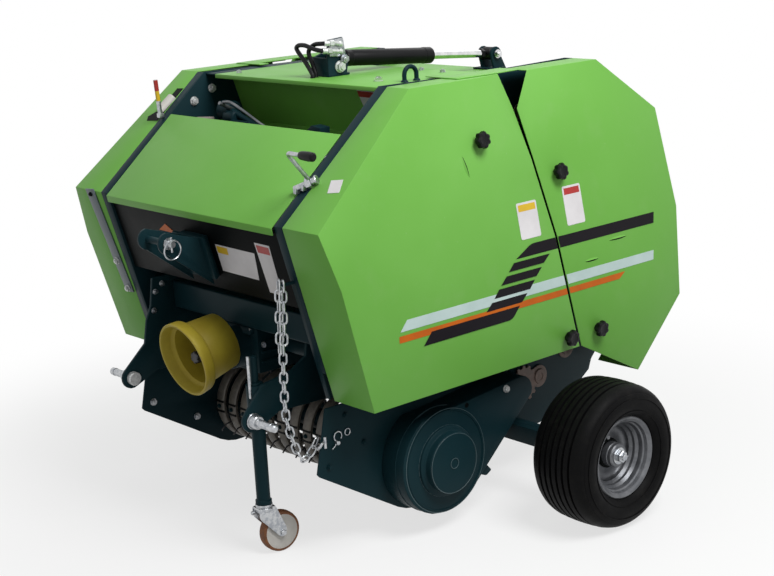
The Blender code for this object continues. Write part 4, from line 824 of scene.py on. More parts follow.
def gearbox():
    refined("gearbox", "teal", 0.004, 3)
    bm = bmesh.new()
    for z in (0.472, 0.5, 0.528):
        block(bm, (0.083, -0.492, z), (0.092, -0.345, z + 0.006))
        block(bm, (-0.092, -0.492, z), (-0.083, -0.345, z + 0.006))
    lathe(bm, [(0, 0), (0, 0.03), (0.006, 0.03), (0.008, 0.026), (0.008, 0)], (0.0845, -0.385, PTO_Z), (1, 0,
            0), 28)
    plate(bm, [(-0.516, 0.556), (-0.5, 0.578), (-0.43, 0.578), (-0.43, 0.566), (-0.506, 0.556)], -0.07, 0.07)
    piece("gearbox_ribs", bm, "teal", "frame", width=0.0015)
    for place in ((0.079, -0.487, 0.5905), (0.097, -0.487, 0.527), (-0.06, -0.5003, 0.565), (0.06, -0.5003,
            0.565)):
        bolt("frame", place, (0, -1, 0), "M8")
    bm = bmesh.new()
    for x in (0.235, 0.215):
        lathe(bm, [(0, 0), (0, 0.036), (0.004, 0.038), (0.014, 0.038), (0.016, 0.036), (0.016, 0)], (x,
                -0.385, PTO_Z), (1, 0, 0), 36)
    piece("shaft_flanges", bm, "teal", "frame", width=0.0006)
    for y, z in arc((-0.385, PTO_Z), 0.028, 0, 300, 5):
        bolt("frame", (0.252, y, z), (1, 0, 0), "M6")


# --- pickup --------------------------------------------------------------------
def pickup():
    half, count, radius = 0.372, 13, 0.132
    step = 2 * half / (count - 1)
    bm = bmesh.new()
    section = [(-0.019, -0.011), (-0.0188, -0.0035), (-0.0165, -0.0012), (-0.012, 0.0), (0.0, 0.0008), (0.012,
            0.0), (0.0165, -0.0012), (0.0188, -0.0035), (0.019, -0.011), (0.0172, -0.011), (0.0168, -0.0042),
            (0.0145, -0.003), (0.0, -0.0022), (-0.0145, -0.003), (-0.0168, -0.0042), (-0.0172, -0.011)]
    rings = []
    steps = 36
    for i in range(steps + 1):
        a = radians(55 + (300 - 55) * i / steps)
        rings.append([bm.verts.new((x, REEL[0] + (radius + r) * cos(a), REEL[1] + (radius + r) * sin(a)))
                for x, r in section])
    for ring, after in zip(rings, rings[1:]):
        for i in range(len(ring)):
            j = (i + 1) % len(ring)
            bm.faces.new((ring[i], ring[j], after[j], after[i]))
    bm.faces.new(list(reversed(rings[0])))
    bm.faces.new(rings[-1])
    rusty = bm.copy()
    spots = [((-half + i * step, 0, 0), (0, 0, 0)) for i in range(count)]
    row_of("stripper_bands", bm, [s for i, s in enumerate(spots) if i != 11], "bands", "pickup",
            "pickup_bands")
    row_of("stripper_band_rusty", rusty, [spots[11]], "rust", "pickup")
    bm = bmesh.new()
    for a0, a1, r0, r1 in ((172, 174.5, 0.1305, 0.1338), (186, 188.5, 0.1305, 0.1338)):
        outer, inner = arc(REEL, r1, a0, a1, 2), arc(REEL, r0, a1, a0, 2)
        plate(bm, outer + inner, -0.0195, 0.0195)
    row_of("band_clips", bm, spots, "black", "pickup")
    bm = bmesh.new()
    y, z = arc(REEL, radius - 0.002, 60, 60, 1)[0]
    block(bm, (-0.4235, y - 0.004, z - 0.004), (0.4235, y + 0.016, z + 0.012))
    y, z = arc(REEL, radius - 0.01, 296, 296, 1)[0]
    block(bm, (-0.4235, y - 0.012, z - 0.002), (0.4235, y + 0.008, z + 0.004))
    piece("band_carriers", bm, "teal", "pickup", width=0.0015)
    for i in range(count):
        y, z = arc(REEL, radius + 0.001, 180, 180, 1)[0]
        bolt("pickup", (-half + i * step, y, z), (0, -1, 0), "M6", "teal")
    # tine reel
    bm = bmesh.new()
    lathe(bm, [(-0.43, 0), (-0.43, 0.024), (-0.4, 0.025), (-0.398, 0.07), (-0.392, 0.07), (-0.39, 0.033),
            (0.39, 0.033), (0.392, 0.07), (0.398, 0.07), (0.4, 0.025), (0.43, 0.024), (0.43, 0)], (0, *REEL),
            (1, 0, 0), 40)
    for row in range(4):
        y, z = arc(REEL, 0.058, 90 * row + 20, 90 * row + 20, 1)[0]
        rod(bm, (-0.395, y, z), (0.395, y, z), 0.0105, 16)
    piece("reel_tube", bm, "teal", "reel", "pickup_reel")
    bm = bmesh.new()
    coil = [(0.0095 * (i / 10) - 0.0095, 0.058 + 0.0135 * cos(2 * pi * i / 10 + pi / 2),
            0.0135 * sin(2 * pi * i / 10 + pi / 2)) for i in range(21)]
    line = coil + [(0.0105, 0.075, 0.012), (0.0105, 0.115, 0.004), (0.0105, 0.15, -0.003), (0.0105, 0.1715,
            0.006)]
    tube(bm, [(x, y, z) for x, y, z in line], 0.0027, 6)
    spots = [((-half + (i + 0.5) * step, *REEL), (radians(90 * row + 20), 0, 0)) for row in range(4)
            for i in range(count - 1)]
    row_of("spring_tines", bm, spots, "dark steel", "reel")


def drive_cover():
    refined("pickup_drive_cover", "teal", 0.004, 3)
    bm = bmesh.new()
    x = COVER_X
    for along, y in ((0.486, REEL[0] - 0.008), (0.486, REEL[0])):
        lathe(bm, [(-0.0022, 0.149), (-0.0012, 0.1512), (0.0012, 0.1512), (0.0022, 0.149)], (along, y,
                REEL[1]), (1, 0, 0), 96)
    lathe(bm, [(-0.001, 0.139), (0.0016, 0.14), (0.0016, 0.1425), (-0.001, 0.1435)], (x, *REEL), (1, 0, 0),
            96)
    lathe(bm, [(0.034, 0.015), (0.035, 0.0145), (0.035, 0.0115), (0.034, 0.011)], (x, *REEL), (1, 0, 0), 40)
    piece("cover_rings", bm, "teal", "pickup", angle=30)
    # lighter teal rings on the edges of the cover's rim, drum and dome: painted highlights
    bm = bmesh.new()
    for out, radius in ((0.0003, 0.1475), (0.0003, 0.101), (0.0338, 0.0845), (0.0352, 0.0145)):
        lathe(bm, [(out, radius - 0.0011), (out + 0.0005, radius - 0.0008), (out + 0.0005, radius + 0.0008),
                (out, radius + 0.0011)], (x, *REEL), (1, 0, 0), 96)
    piece("cover_worn_edges", bm, "highlight edge", "pickup", angle=30)
    bolt("pickup", (x, 0.037, 0.354), (1, 0, 0), "M10", "bolt white")
    # black disc standing for a hole in the cover: painted shade
    turned("cover_hole", [(0.0002, 0), (0.0002, 0.0075), (0.0007, 0.007), (0.0007, 0)], (x, -0.118, 0.345),
            (1, 0, 0), 24, "black", "pickup")
    bm = bmesh.new()
    tab = rounded_outline([(-0.08, 0.128), (-0.046, 0.168), (-0.031, 0.14), (-0.013, 0.12), (-0.034, 0.108)],
            [0.001, 0.001, 0.004, 0.005, 0.006], 4)
    plate(bm, tab, 0.496, 0.501)
    piece("cover_tab", bm, "teal", "pickup", width=0.001)
    for node in ("pickup_side_left", "pickup_side_right"):
        refined(node, "teal", 0.0012)
    bolt("pickup", (-0.4235, -0.545, 0.262), (1, 0, 0), "M10")
    bolt("pickup", (-0.4235, -0.392, 0.176), (1, 0, 0), "M10")
    for y, z in ((-0.545, 0.262), (-0.48, 0.392), (-0.42, 0.3)):
        bolt("pickup", (0.4303, y, z), (1, 0, 0), "M8", "teal")
    # ring clip on the left side plate
    bm = bmesh.new()
    ring = [(0.436, -0.513 + 0.013 * cos(radians(a)), 0.342 + 0.013 * sin(radians(a))) for a in range(-40,
            270, 20)]
    tube(bm, ring + [(0.436, -0.525, 0.317), (0.436, -0.534, 0.311)], 0.0017, 8)
    rod(bm, (0.4303, -0.516, 0.325), (0.442, -0.516, 0.325), 0.006, 16)
    tube(bm, [(0.434, -0.478 + 0.009 * cos(radians(a)), 0.345 + 0.009 * sin(radians(a))) for a in range(0,
            361, 24)], 0.0015, 8)
    piece("ring_clip", bm, "zinc", "pickup")
    bm = bmesh.new()
    hook = smooth_line([(0.424, -0.553, 0.334), (0.434, -0.562, 0.338), (0.438, -0.57, 0.336), (0.436, -0.576,
            0.328), (0.428, -0.574, 0.322)], 4)
    tube(bm, hook, 0.0042, 10)
    rod(bm, (0.4303, -0.553, 0.35), (0.4303, -0.553, 0.318), 0.005, 12)
    piece("chain_hook", bm, "zinc", "pickup")


CHAIN_ROUTE = [(-0.64, 0.775), (-0.65, 0.608), (-0.656, 0.447), (-0.645, 0.38), (-0.622, 0.314), (-0.603,
        0.297), (-0.58, 0.31), (-0.566, 0.332)]


def chain():
    """Doubled down to its middle, then single to the hook."""
    line = smooth_line([(0.412, y, z) for y, z in CHAIN_ROUTE[:-1]] + [(0.414, *CHAIN_ROUTE[-1])], 6)
    strands = []
    for offset, part in ((-0.02, line[:7]), (-0.002, line[:6]), (-0.008, line[6:])):
        strands.append([p + Vector((offset, 0, 0)) for p in part])
    made = []
    for i, points in enumerate(strands):
        made.append(grown(f"chain_{i}", "chain", points, "zinc", None, [(k, k + 1)
                for k in range(len(points) - 1)], Pitch=0.024, Link_length=0.032, Link_width=0.019,
                Wire_radius=0.0027))
    for i, thing in enumerate(made):
        thing.data.materials.clear()
        thing.data.materials.append(FINISH["zinc"].material)
        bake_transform(thing)
        if i == 0:
            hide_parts("pickup_chain")


# --- jack ------------------------------------------------------------------------
def jack():
    refined("jack_sleeve", "teal", 0.0008)
    bm = bmesh.new()
    lathe(bm, [(0, 0), (0, JACK_R - 0.002), (0.002, JACK_R), (0.3425, JACK_R), (0.344, JACK_R - 0.002),
            (0.344, 0.0105), (0.4135, 0.0105), (0.415, 0.009), (0.415, 0)], (JACK_X, JACK_Y, 0.148), (0, 0,
            1), 40)
    lathe(bm, [(0.0, JACK_R), (0.0, JACK_R + 0.0035), (0.01, JACK_R + 0.0035), (0.013, JACK_R)], (JACK_X,
            JACK_Y, 0.1485), (0, 0, 1), 40)
    piece("jack_tube", bm, "teal", "jack", "jack_leg")
    bm = bmesh.new()
    block(bm, (JACK_X + 0.0023, JACK_Y - 0.0245, 0.452), (JACK_X + 0.0123, JACK_Y - 0.02, 0.569))
    piece("jack_lock_bar", bm, "zinc", "jack", width=0.0012)
    turn = Matrix.Translation((JACK_X, JACK_Y, 0)) @ Matrix.Rotation(radians(-6), 4, 'Z')

    def turned_piece(name, bm, *rest, **more):
        bm.transform(turn)
        return piece(name, bm, *rest, **more)
    bm = bmesh.new()
    lathe(bm, [(-0.022, 0), (-0.022, 0.02), (-0.018, 0.0245), (-0.012, 0.0255), (-0.009, 0.024), (-0.008,
            0.0215), (-0.006, 0.0215), (-0.005, 0.024), (-0.0003, 0.0235), (-0.0003, 0)], (0, 0, 0.148), (0,
            0, 1), 40)
    shape = rounded_outline([(-0.026, 0.139), (0.024, 0.14), (0.056, 0.066), (0.05, 0.046), (0.034, 0.046),
            (-0.026, 0.112)], [0.006, 0.008, 0.01, 0.008, 0.008, 0.01], 4)
    for side in (1, -1):
        plate(bm, shape, side * 0.0175, side * 0.0205)
    plate(bm, [(-0.0245, 0.1275), (0.0245, 0.1275), (0.0245, 0.1395), (-0.0245, 0.1395)], -0.018, 0.018)
    turned_piece("caster_yoke", bm, "zinc", "caster", "caster_fork", width=0.0006)
    bm = bmesh.new()
    rod(bm, (-0.027, 0.042, 0.0575), (0.027, 0.042, 0.0575), 0.0045, 16)
    for side in (1, -1):
        lathe(bm, [(0, 0), (0, 0.0085), (0.006, 0.0085), (0.007, 0.0075), (0.007, 0)], (side * 0.0205, 0.042,
                0.0575), (side, 0, 0), 6)
    rod(bm, (-0.01, -0.026, 0.124), (-0.01, -0.035, 0.124), 0.0055, 14)
    turned_piece("caster_bolt", bm, "zinc", "caster")
    bm = bmesh.new()
    hub = [(-0.015, 0), (-0.015, 0.014), (-0.013, 0.0155), (-0.012, 0.02), (-0.0125, 0.04), (-0.0142, 0.044),
            (-0.0142, 0.051), (0.0142, 0.051), (0.0142, 0.044), (0.0125, 0.04), (0.012, 0.02), (0.013,
            0.0155), (0.015, 0.014), (0.015, 0)]
    lathe(bm, hub, (0, 0.042, 0.0575), (1, 0, 0), 48)
    turned_piece("caster_disc_face", bm, "white", "caster_disc", "caster_wheel")
    bm = bmesh.new()
    tread = [(-0.0148, 0.049), (-0.015, 0.053), (-0.012, 0.0562), (-0.006, 0.0574), (0.006, 0.0574), (0.012,
            0.0562), (0.015, 0.053), (0.0148, 0.049)]
    lathe(bm, tread, (0, 0.042, 0.0575), (1, 0, 0), 48)
    turned_piece("caster_tread", bm, "rust", "caster_disc")


# --- cylinder ----------------------------------------------------------------------
def cylinder():
    start, end = Vector((CYL_X, *CYL_FRONT)), Vector((CYL_X, *CYL_REAR))
    run = (end - start).normalized()
    bm = bmesh.new()
    barrel = [(0.02, 0), (0.02, 0.012), (0.03, 0.016), (0.033, 0.0222), (0.036, 0.024), (0.052, 0.024),
            (0.0535, 0.0228), (0.0555, 0.0228), (0.057, 0.0236), (0.338, 0.0236), (0.339, 0.0246), (0.366,
            0.0246), (0.3695, 0.0225), (0.37, 0.0135), (0.366, 0.0128), (0.366, 0)]
    lathe(bm, barrel, start, run, 48)
    lathe(bm, [(-0.0205, 0.0102), (-0.0205, 0.0185), (-0.019, 0.02), (0.019, 0.02), (0.0205, 0.0185), (0.0205,
            0.0102)], start, (1, 0, 0), 36)
    rod(bm, start + run * 0.012, start + run * 0.034, 0.0135, 24)
    piece("cylinder_tube", bm, "knob", "barrel", "cylinder_barrel", angle=30)
    turned("cylinder_plug", [(0.3695, 0.0128), (0.3695, 0.0165), (0.372, 0.0165), (0.3725, 0.0128)], start,
            run, 36, "zinc", "barrel")
    turned("piston_bar", [(0.27, 0), (0.27, 0.012), (0.588, 0.012), (0.588, 0)], start, run, 40, "chrome",
            "piston_rod", "cylinder_rod")
    bm = bmesh.new()
    lathe(bm, [(0.578, 0), (0.578, 0.015), (0.58, 0.0165), (0.59, 0.0165), (0.592, 0.015), (0.592, 0)], start,
            run, 6)
    lathe(bm, [(-0.0185, 0.0085), (-0.0185, 0.0185), (-0.017, 0.02), (0.017, 0.02), (0.0185, 0.0185), (0.0185,
            0.0085)], end, (1, 0, 0), 36)
    rod(bm, (CYL_X - 0.0213, *CYL_REAR), (CYL_X + 0.0213, *CYL_REAR), 0.0089, 20)
    piece("rod_eye", bm, "knob", "piston_rod", angle=30)
    refined("rod_bracket", "teal", 0.0012, 2)
    refined("cylinder_bracket", "teal", 0.0012, 2)
    for side in (1, -1):
        bolt("tailgate", (CYL_X + side * 0.036, *CYL_REAR), (side, 0, 0), "M12", "chrome"
                if side > 0 else "zinc")
        bolt("frame", (CYL_X + side * 0.0425, *CYL_FRONT), (side, 0, 0), "M12")
    # plated face of the tall ear, which holds the hose fittings
    bm = bmesh.new()
    plate(bm, rounded_outline([(-0.1725, 1.296), (-0.121, 1.291), (-0.1165, 1.302), (-0.1225, 1.3448),
            (-0.1722, 1.3405)], [0.002, 0.002, 0.003, 0.003, 0.003]), 0.0752, 0.0782)
    piece("plated_tab", bm, "zinc", "frame", width=0.0006)
    bolt("frame", (0.0752, -0.138, 1.264), (1, 0, 0), "M16", "bolt white")


def fittings():
    """Hoses with crimped sleeves, swivel nuts and elbows at the tall ear, grommets in the sheet."""
    low = TOP_Z - 0.004 + 0.0012
    routes = {"outer": [(0.043, -0.212, low), (0.043, -0.212, 1.247), (0.033, -0.212, 1.26), (0.018, -0.212,
            1.277), (-0.002, -0.212, 1.296), (-0.018, -0.212, 1.311), (-0.023, -0.212, 1.321), (-0.011,
            -0.212, 1.328), (0.013, -0.212, 1.329), (0.034, -0.212, 1.325), (0.058, -0.21, 1.319), (0.078,
            -0.203, 1.315), (0.084, -0.186, 1.313)], "inner": [(0.037, -0.196, low), (0.037, -0.196, 1.247),
            (0.031, -0.196, 1.262), (0.023, -0.196, 1.281), (0.013, -0.196, 1.298), (0.012, -0.196, 1.311),
            (0.024, -0.196, 1.323), (0.043, -0.196, 1.331), (0.06, -0.195, 1.333), (0.078, -0.192, 1.334),
            (0.086, -0.178, 1.334)]}
    metal_bm, grommets = bmesh.new(), bmesh.new()
    for label, route in routes.items():
        bm = bmesh.new()
        points = smooth_line(route[::-1], 5)
        tube(bm, points, 0.0064, 16)
        piece("hose_" + label, bm, "hose", "frame", "hydraulic_hose_" + label)
        start, way = points[0], (points[0] - points[3]).normalized()
        back = start - way * 0.016
        lathe(metal_bm, [(0, 0), (0, 0.0078), (0.002, 0.0084), (0.005, 0.0076), (0.008, 0.0084), (0.011,
                0.0076), (0.014, 0.0084), (0.018, 0.006), (0.018, 0)], back, way, 24)
        lathe(metal_bm, [(0.017, 0), (0.017, 0.0092), (0.027, 0.0092), (0.029, 0.008), (0.029, 0)], back, way,
                6)
        z = start.z - 0.004
        tip, target = back + way * 0.027, Vector((0.0795, -0.137, z - 0.002))
        tube(metal_bm, smooth_line([tip, Vector((0.0885, -0.15, z)), Vector((0.0885, -0.14, z - 0.002)),
                target], 5), 0.0058, 12)
        lathe(metal_bm, [(-0.001, 0), (-0.001, 0.0085), (0.006, 0.0085), (0.007, 0.007), (0.007, 0)], target,
                (1, 0, 0), 6)
        x, y = route[0][:2]
        lathe(grommets, [(0.0006, 0.0068), (0.0006, 0.0074), (0.003, 0.0074), (0.0045, 0.0072), (0.005,
                0.0068)], (x, y, low - 0.0012), (0, 0, 1), 28)
    piece("hose_fittings", metal_bm, "bolt white", "frame", angle=30)
    piece("hose_grommets", grommets, "knob", "frame")


# --- frame, hitch and small pieces ----------------------------------------------------
def frame_sheets():
    for side in ("left", "right"):
        refined("guard_front_" + side, "green", 0.0011)
        refined("guard_rear_" + side, "green", 0.0011)
        refined("frame_side_" + side, "teal", 0.001)
        refined("gate_side_" + side, "teal", 0.001)
        refined("hinge_cover_" + side, "green", 0.001)
        refined("hitch_plate_" + side, "teal", 0.0015, 2, "zinc", lambda c: abs(c.x) > HITCH_X + 0.0004)
    for node in ("front_cover", "top_sheet", "gate_cover"):
        refined(node, "green", 0.0012)
    # darker copy of the green paint on the twine box: painted shade
    refined("twine_box", "shaded green", 0.0012)
    refined("front_panel", "black", 0.0015)
    refined("frame_beam", "teal", 0.006, 3)
    refined("top_link_bracket", "teal", 0.0018, 2, "zinc", lambda c: abs(c.x) > 0.0534 and hypot(c.y + 0.744,
            c.z - 0.858) < 0.012)
    refined("axle_beam", "teal", 0.003, 3)
    for node in ("front_rollers", "rear_rollers", "feed_rollers"):
        refined(node, "rollers", 0.0012)


def hitch():
    """Pins' collars and clips, the strap bar and the panel's small pieces."""
    bm = bmesh.new()
    for side in (1, -1):
        x = side * HITCH_X
        lathe(bm, [(0.0005, 0), (0.0005, 0.0215), (0.0045, 0.022), (0.006, 0.0205), (0.025, 0.0185), (0.027,
                0.0165), (0.027, 0)], (x, HITCH_Y, HITCH_Z), (side, 0, 0), 36)
        lathe(bm, [(0.08, 0.0105), (0.08, 0.0118), (0.083, 0.0118), (0.084, 0.0105)], (x, HITCH_Y, HITCH_Z),
                (side, 0, 0), 28)
        lathe(bm, [(-0.002, 0.0096), (-0.002, 0.0165), (0.001, 0.0165), (0.002, 0.0096)], (side * 0.056,
                -0.744, 0.858), (side, 0, 0), 28)
    ring = [(0.069 + 0.002 * sin(a), -0.742 + 0.026 * cos(a), 0.842 + 0.026 * sin(a))
            for a in [2 * pi * k / 32 for k in range(32)]]
    tube(bm, ring + ring[:1], 0.0022, 8)
    rod(bm, (0.069, -0.744, 0.877), (0.069, -0.744, 0.836), 0.003, 10)
    piece("pin_clips", bm, "zinc", "frame")
    for side in (1, -1):
        for y, z in ((-0.56, 0.655), (-0.46, 0.672), (-0.545, 0.598), (-0.46, 0.56), (-0.56, 0.52)):
            if side < 0 or y > -0.5:
                bolt("frame", (side * (HITCH_X + 0.0003), y, z), (side, 0, 0), "M12", "teal"
                        if side < 0 else "zinc")
    x = 0.0003 - HITCH_X + 0.01
    for y, z in ((-0.585, 0.64), (-0.595, 0.585), (-0.56, 0.66)):
        bolt("frame", (x, y, z), (1, 0, 0), "M8", "zinc")
    for y, z in ((-0.254, 1.191), (-0.322, 1.16)):
        bolt("frame", (-0.3998, y, z), (1, 0, 0), "M12", "bolt white")
    turned("far_pin_nut", [(0, 0), (0, 0.0185), (0.002, 0.02), (0.016, 0.02), (0.018, 0.018), (0.018, 0)], (x,
            HITCH_Y, HITCH_Z), (1, 0, 0), 28, "bolt white", "frame")
    # broad strap on the right guard's front flange
    bm = bmesh.new()
    a, b = Vector((-0.4905, -0.6479, 0.9268)), Vector((-0.464, -0.5654, 0.6229))
    along, away = (b - a).normalized(), FRONT_OUT
    across = along.cross(away).normalized()
    strip = [a - along * 0.01 + across * s for s in (-0.0235, 0.0235)]
    strip += [b + along * 0.014 + across * s for s in (0.0215, -0.0215)]
    prism(bm, [p + away * 0.0006 for p in strip], away * 0.004)
    piece("strap_bar", bm, "strap", "front_guard_right", width=0.001)
    for place in (b, a.lerp(b, 0.71)):
        bolt("front_guard_right", place + away * 0.005, away, "M10", "bolt white")
    bolt("front_guard_right", a + along * 0.006 + away * 0.005, away, "M6", "black")


def flat_label(name, corners, finish, body, away, lift=0.0004, thick=0.0006):
    bm = bmesh.new()
    away = Vector(away).normalized()
    prism(bm, [Vector(c) + away * lift for c in corners], away * thick)
    return piece(name, bm, finish, body)


def labels():
    """Blank plates and stickers on the front panel, the flange and the box wall."""
    nose, low = FRONT_NOSE, FRONT_LOW

    def panel(x, z):
        y = at_height(nose, low, z)[0] + 0.008
        return (x, y, z)
    for name, finish, corners, *film in (("label_wide", "label white", ((0.083, 0.76), (0.246, 0.757), (0.262,
            0.836), (0.085, 0.838))), ("label_wide_head", "label yellow", ((0.088, 0.814), (0.136, 0.813),
            (0.138, 0.833), (0.089, 0.834)), 0.001, 0.0004), ("label_tall", "label white", ((0.28, 0.728),
            (0.334, 0.727), (0.341, 0.868), (0.277, 0.869))), ("label_tall_head", "red", ((0.283, 0.842),
            (0.335, 0.841), (0.336, 0.862), (0.282, 0.863)), 0.001, 0.0004), ("triangle", "stripe orange",
            ((-0.1835, 0.8455), (-0.1, 0.8435), (-0.143, 0.868)))):
        flat_label("panel_" + name, [panel(x, z) for x, z in corners], finish, "frame", FRONT_OUT, *film)
    wall = (-0.135, 1.08), (-0.185, 1.233)

    def on_wall(x, z):
        return (x, at_height(*wall, z)[0], z)
    out = Vector((0, -0.95, -0.31))
    flat_label("box_label", [on_wall(0.2, 1.165), on_wall(0.262, 1.164), on_wall(0.27, 1.208), on_wall(0.192,
            1.209)], "label white", "frame", out)
    flat_label("box_label_head", [on_wall(0.194, 1.19), on_wall(0.268, 1.189), on_wall(0.269, 1.206),
            on_wall(0.193, 1.207)], "red", "frame", out, 0.001, 0.0004)

    def slanted(x, y):
        return (x, y, slope_z(y))
    flat_label("flange_label", [slanted(0.506, -0.553), slanted(0.546, -0.547), slanted(0.527, -0.516),
            slanted(0.486, -0.522)], "label white", "front_guard_left", SLOPE_OUT)


def small_pieces():
    # marker rod with coloured rings
    foot, lean = Vector((-0.424, -0.428, 1.1165)), Vector((0, -0.008, 0.1185)).normalized()
    refined("indicator_rod", "zinc", 0.0006, 2)
    for name, finish, t0, t1, r in (("red_cap", "red", 0.086, 0.1185, 0.0066), ("yellow_ring", "label yellow",
            0.056, 0.086, 0.0064), ("grey_sleeve", "zinc", 0.012, 0.056, 0.0068)):
        bm = bmesh.new()
        lathe(bm, [(t0, 0), (t0, r), (t1 - 0.001, r), (t1, r - 0.001), (t1, 0)], foot, lean, 20)
        piece("marker_" + name, bm, finish, "frame")
    # slot in the right guard's flange with a white roll in it; the black plate in the slot is painted shade
    def sloped(x, y, lift=0.0):
        return Vector((x, y, slope_z(y))) + SLOPE_OUT * lift
    bm = bmesh.new()
    edge = [(-0.437, -0.432), (-0.489, -0.436), (-0.5, -0.424), (-0.479, -0.407), (-0.466, -0.405), (-0.468,
            -0.352), (-0.467, -0.333), (-0.437, -0.331)]
    prism(bm, [sloped(x, y, 0.0003) for x, y in edge], SLOPE_OUT * 0.0008)
    piece("flange_slot", bm, "black", "front_guard_right")
    turned("twine_roll", [(-0.03, 0), (-0.03, 0.0135), (-0.0275, 0.0155), (0.0275, 0.0155), (0.03, 0.0135),
            (0.03, 0)], sloped(-0.4535, -0.3835, 0.002), (0.1, 0.767, 0.64), 28, "white", "front_guard_right")
    # lifting eye on its pad
    bm = bmesh.new()
    base = TOP_Z - 0.0037
    bow = [(-0.14 + 0.022 * cos(radians(a)), base + 0.018 + 0.022 * sin(radians(a))) for a in range(0, 181,
            12)]
    tube(bm, [(0.376, -0.118, base)] + [(0.376, *p) for p in bow] + [(0.376, -0.162, base)], 0.0062, 16)
    for yy in (-0.118, -0.162):
        lathe(bm, [(0, 0), (0, 0.0105), (0.003, 0.0095), (0.006, 0.0065), (0.006, 0)], (0.376, yy, base), (0,
                0, 1), 20)
    piece("lifting_bow", bm, "teal", "frame", "lifting_eye")
    bolt("frame", (0.29, -0.18, 1.2385), (0, 0, 1), "M12", "chrome")
    for bx, by in ((0.3, 0.05), (-0.3, 0.05), (-0.3, -0.22), (0.2, 0.06), (-0.2, 0.06)):
        bolt("frame", (bx, by, 1.2383), (0, 0, 1), "M8")
    # crank with a black grip and its clamp
    away = Vector((0, FRONT_NOSE[1] - FRONT_TOP[1], FRONT_TOP[0] - FRONT_NOSE[0])).normalized()
    hub = Vector((0.417, -0.548, slope_z(-0.548))) + away * 0.011
    along = Vector((0.066, 0.039, 0.032)).normalized()
    foot = hub + along * 0.02
    end = foot + away * 0.11
    grip = end + Vector((0.105, 0, -0.001))
    bm = bmesh.new()
    tube(bm, smooth_line([foot - away * 0.004, foot + away * 0.05, end - away * 0.012, end + Vector((0.01, 0,
            0)), end + Vector((0.03, 0, 0)), grip], 6), 0.0058, 14)
    rod(bm, hub - along * 0.03, hub + along * 0.035, 0.009, 20)
    lathe(bm, [(-0.014, 0.009), (-0.014, 0.0145), (-0.012, 0.016), (0.0, 0.016), (0.002, 0.0145), (0.002,
            0.009)], hub + along * 0.02, along, 6)
    lathe(bm, [(0, 0), (0, 0.0125), (0.004, 0.0125), (0.005, 0.0115), (0.005, 0)], hub + along * 0.034, along,
            24)
    piece("crank_bar", bm, "zinc", "frame", "crank_handle")
    turned("crank_grip", [(0.055, 0), (0.055, 0.0095), (0.058, 0.0108), (0.07, 0.012), (0.09, 0.0126), (0.104,
            0.0115), (0.1085, 0.008), (0.1095, 0)], end, (1, 0, -0.01), 28, "knob", "frame")
    # pads under the crank on the strip
    bm = bmesh.new()
    for t in (-0.022, 0.0):
        p = hub + along * t
        block(bm, (p.x - 0.006, p.y - 0.01, p.z - 0.014), (p.x + 0.006, p.y + 0.01, p.z + 0.002))
    piece("crank_bearing", bm, "zinc", "frame", width=0.0012)


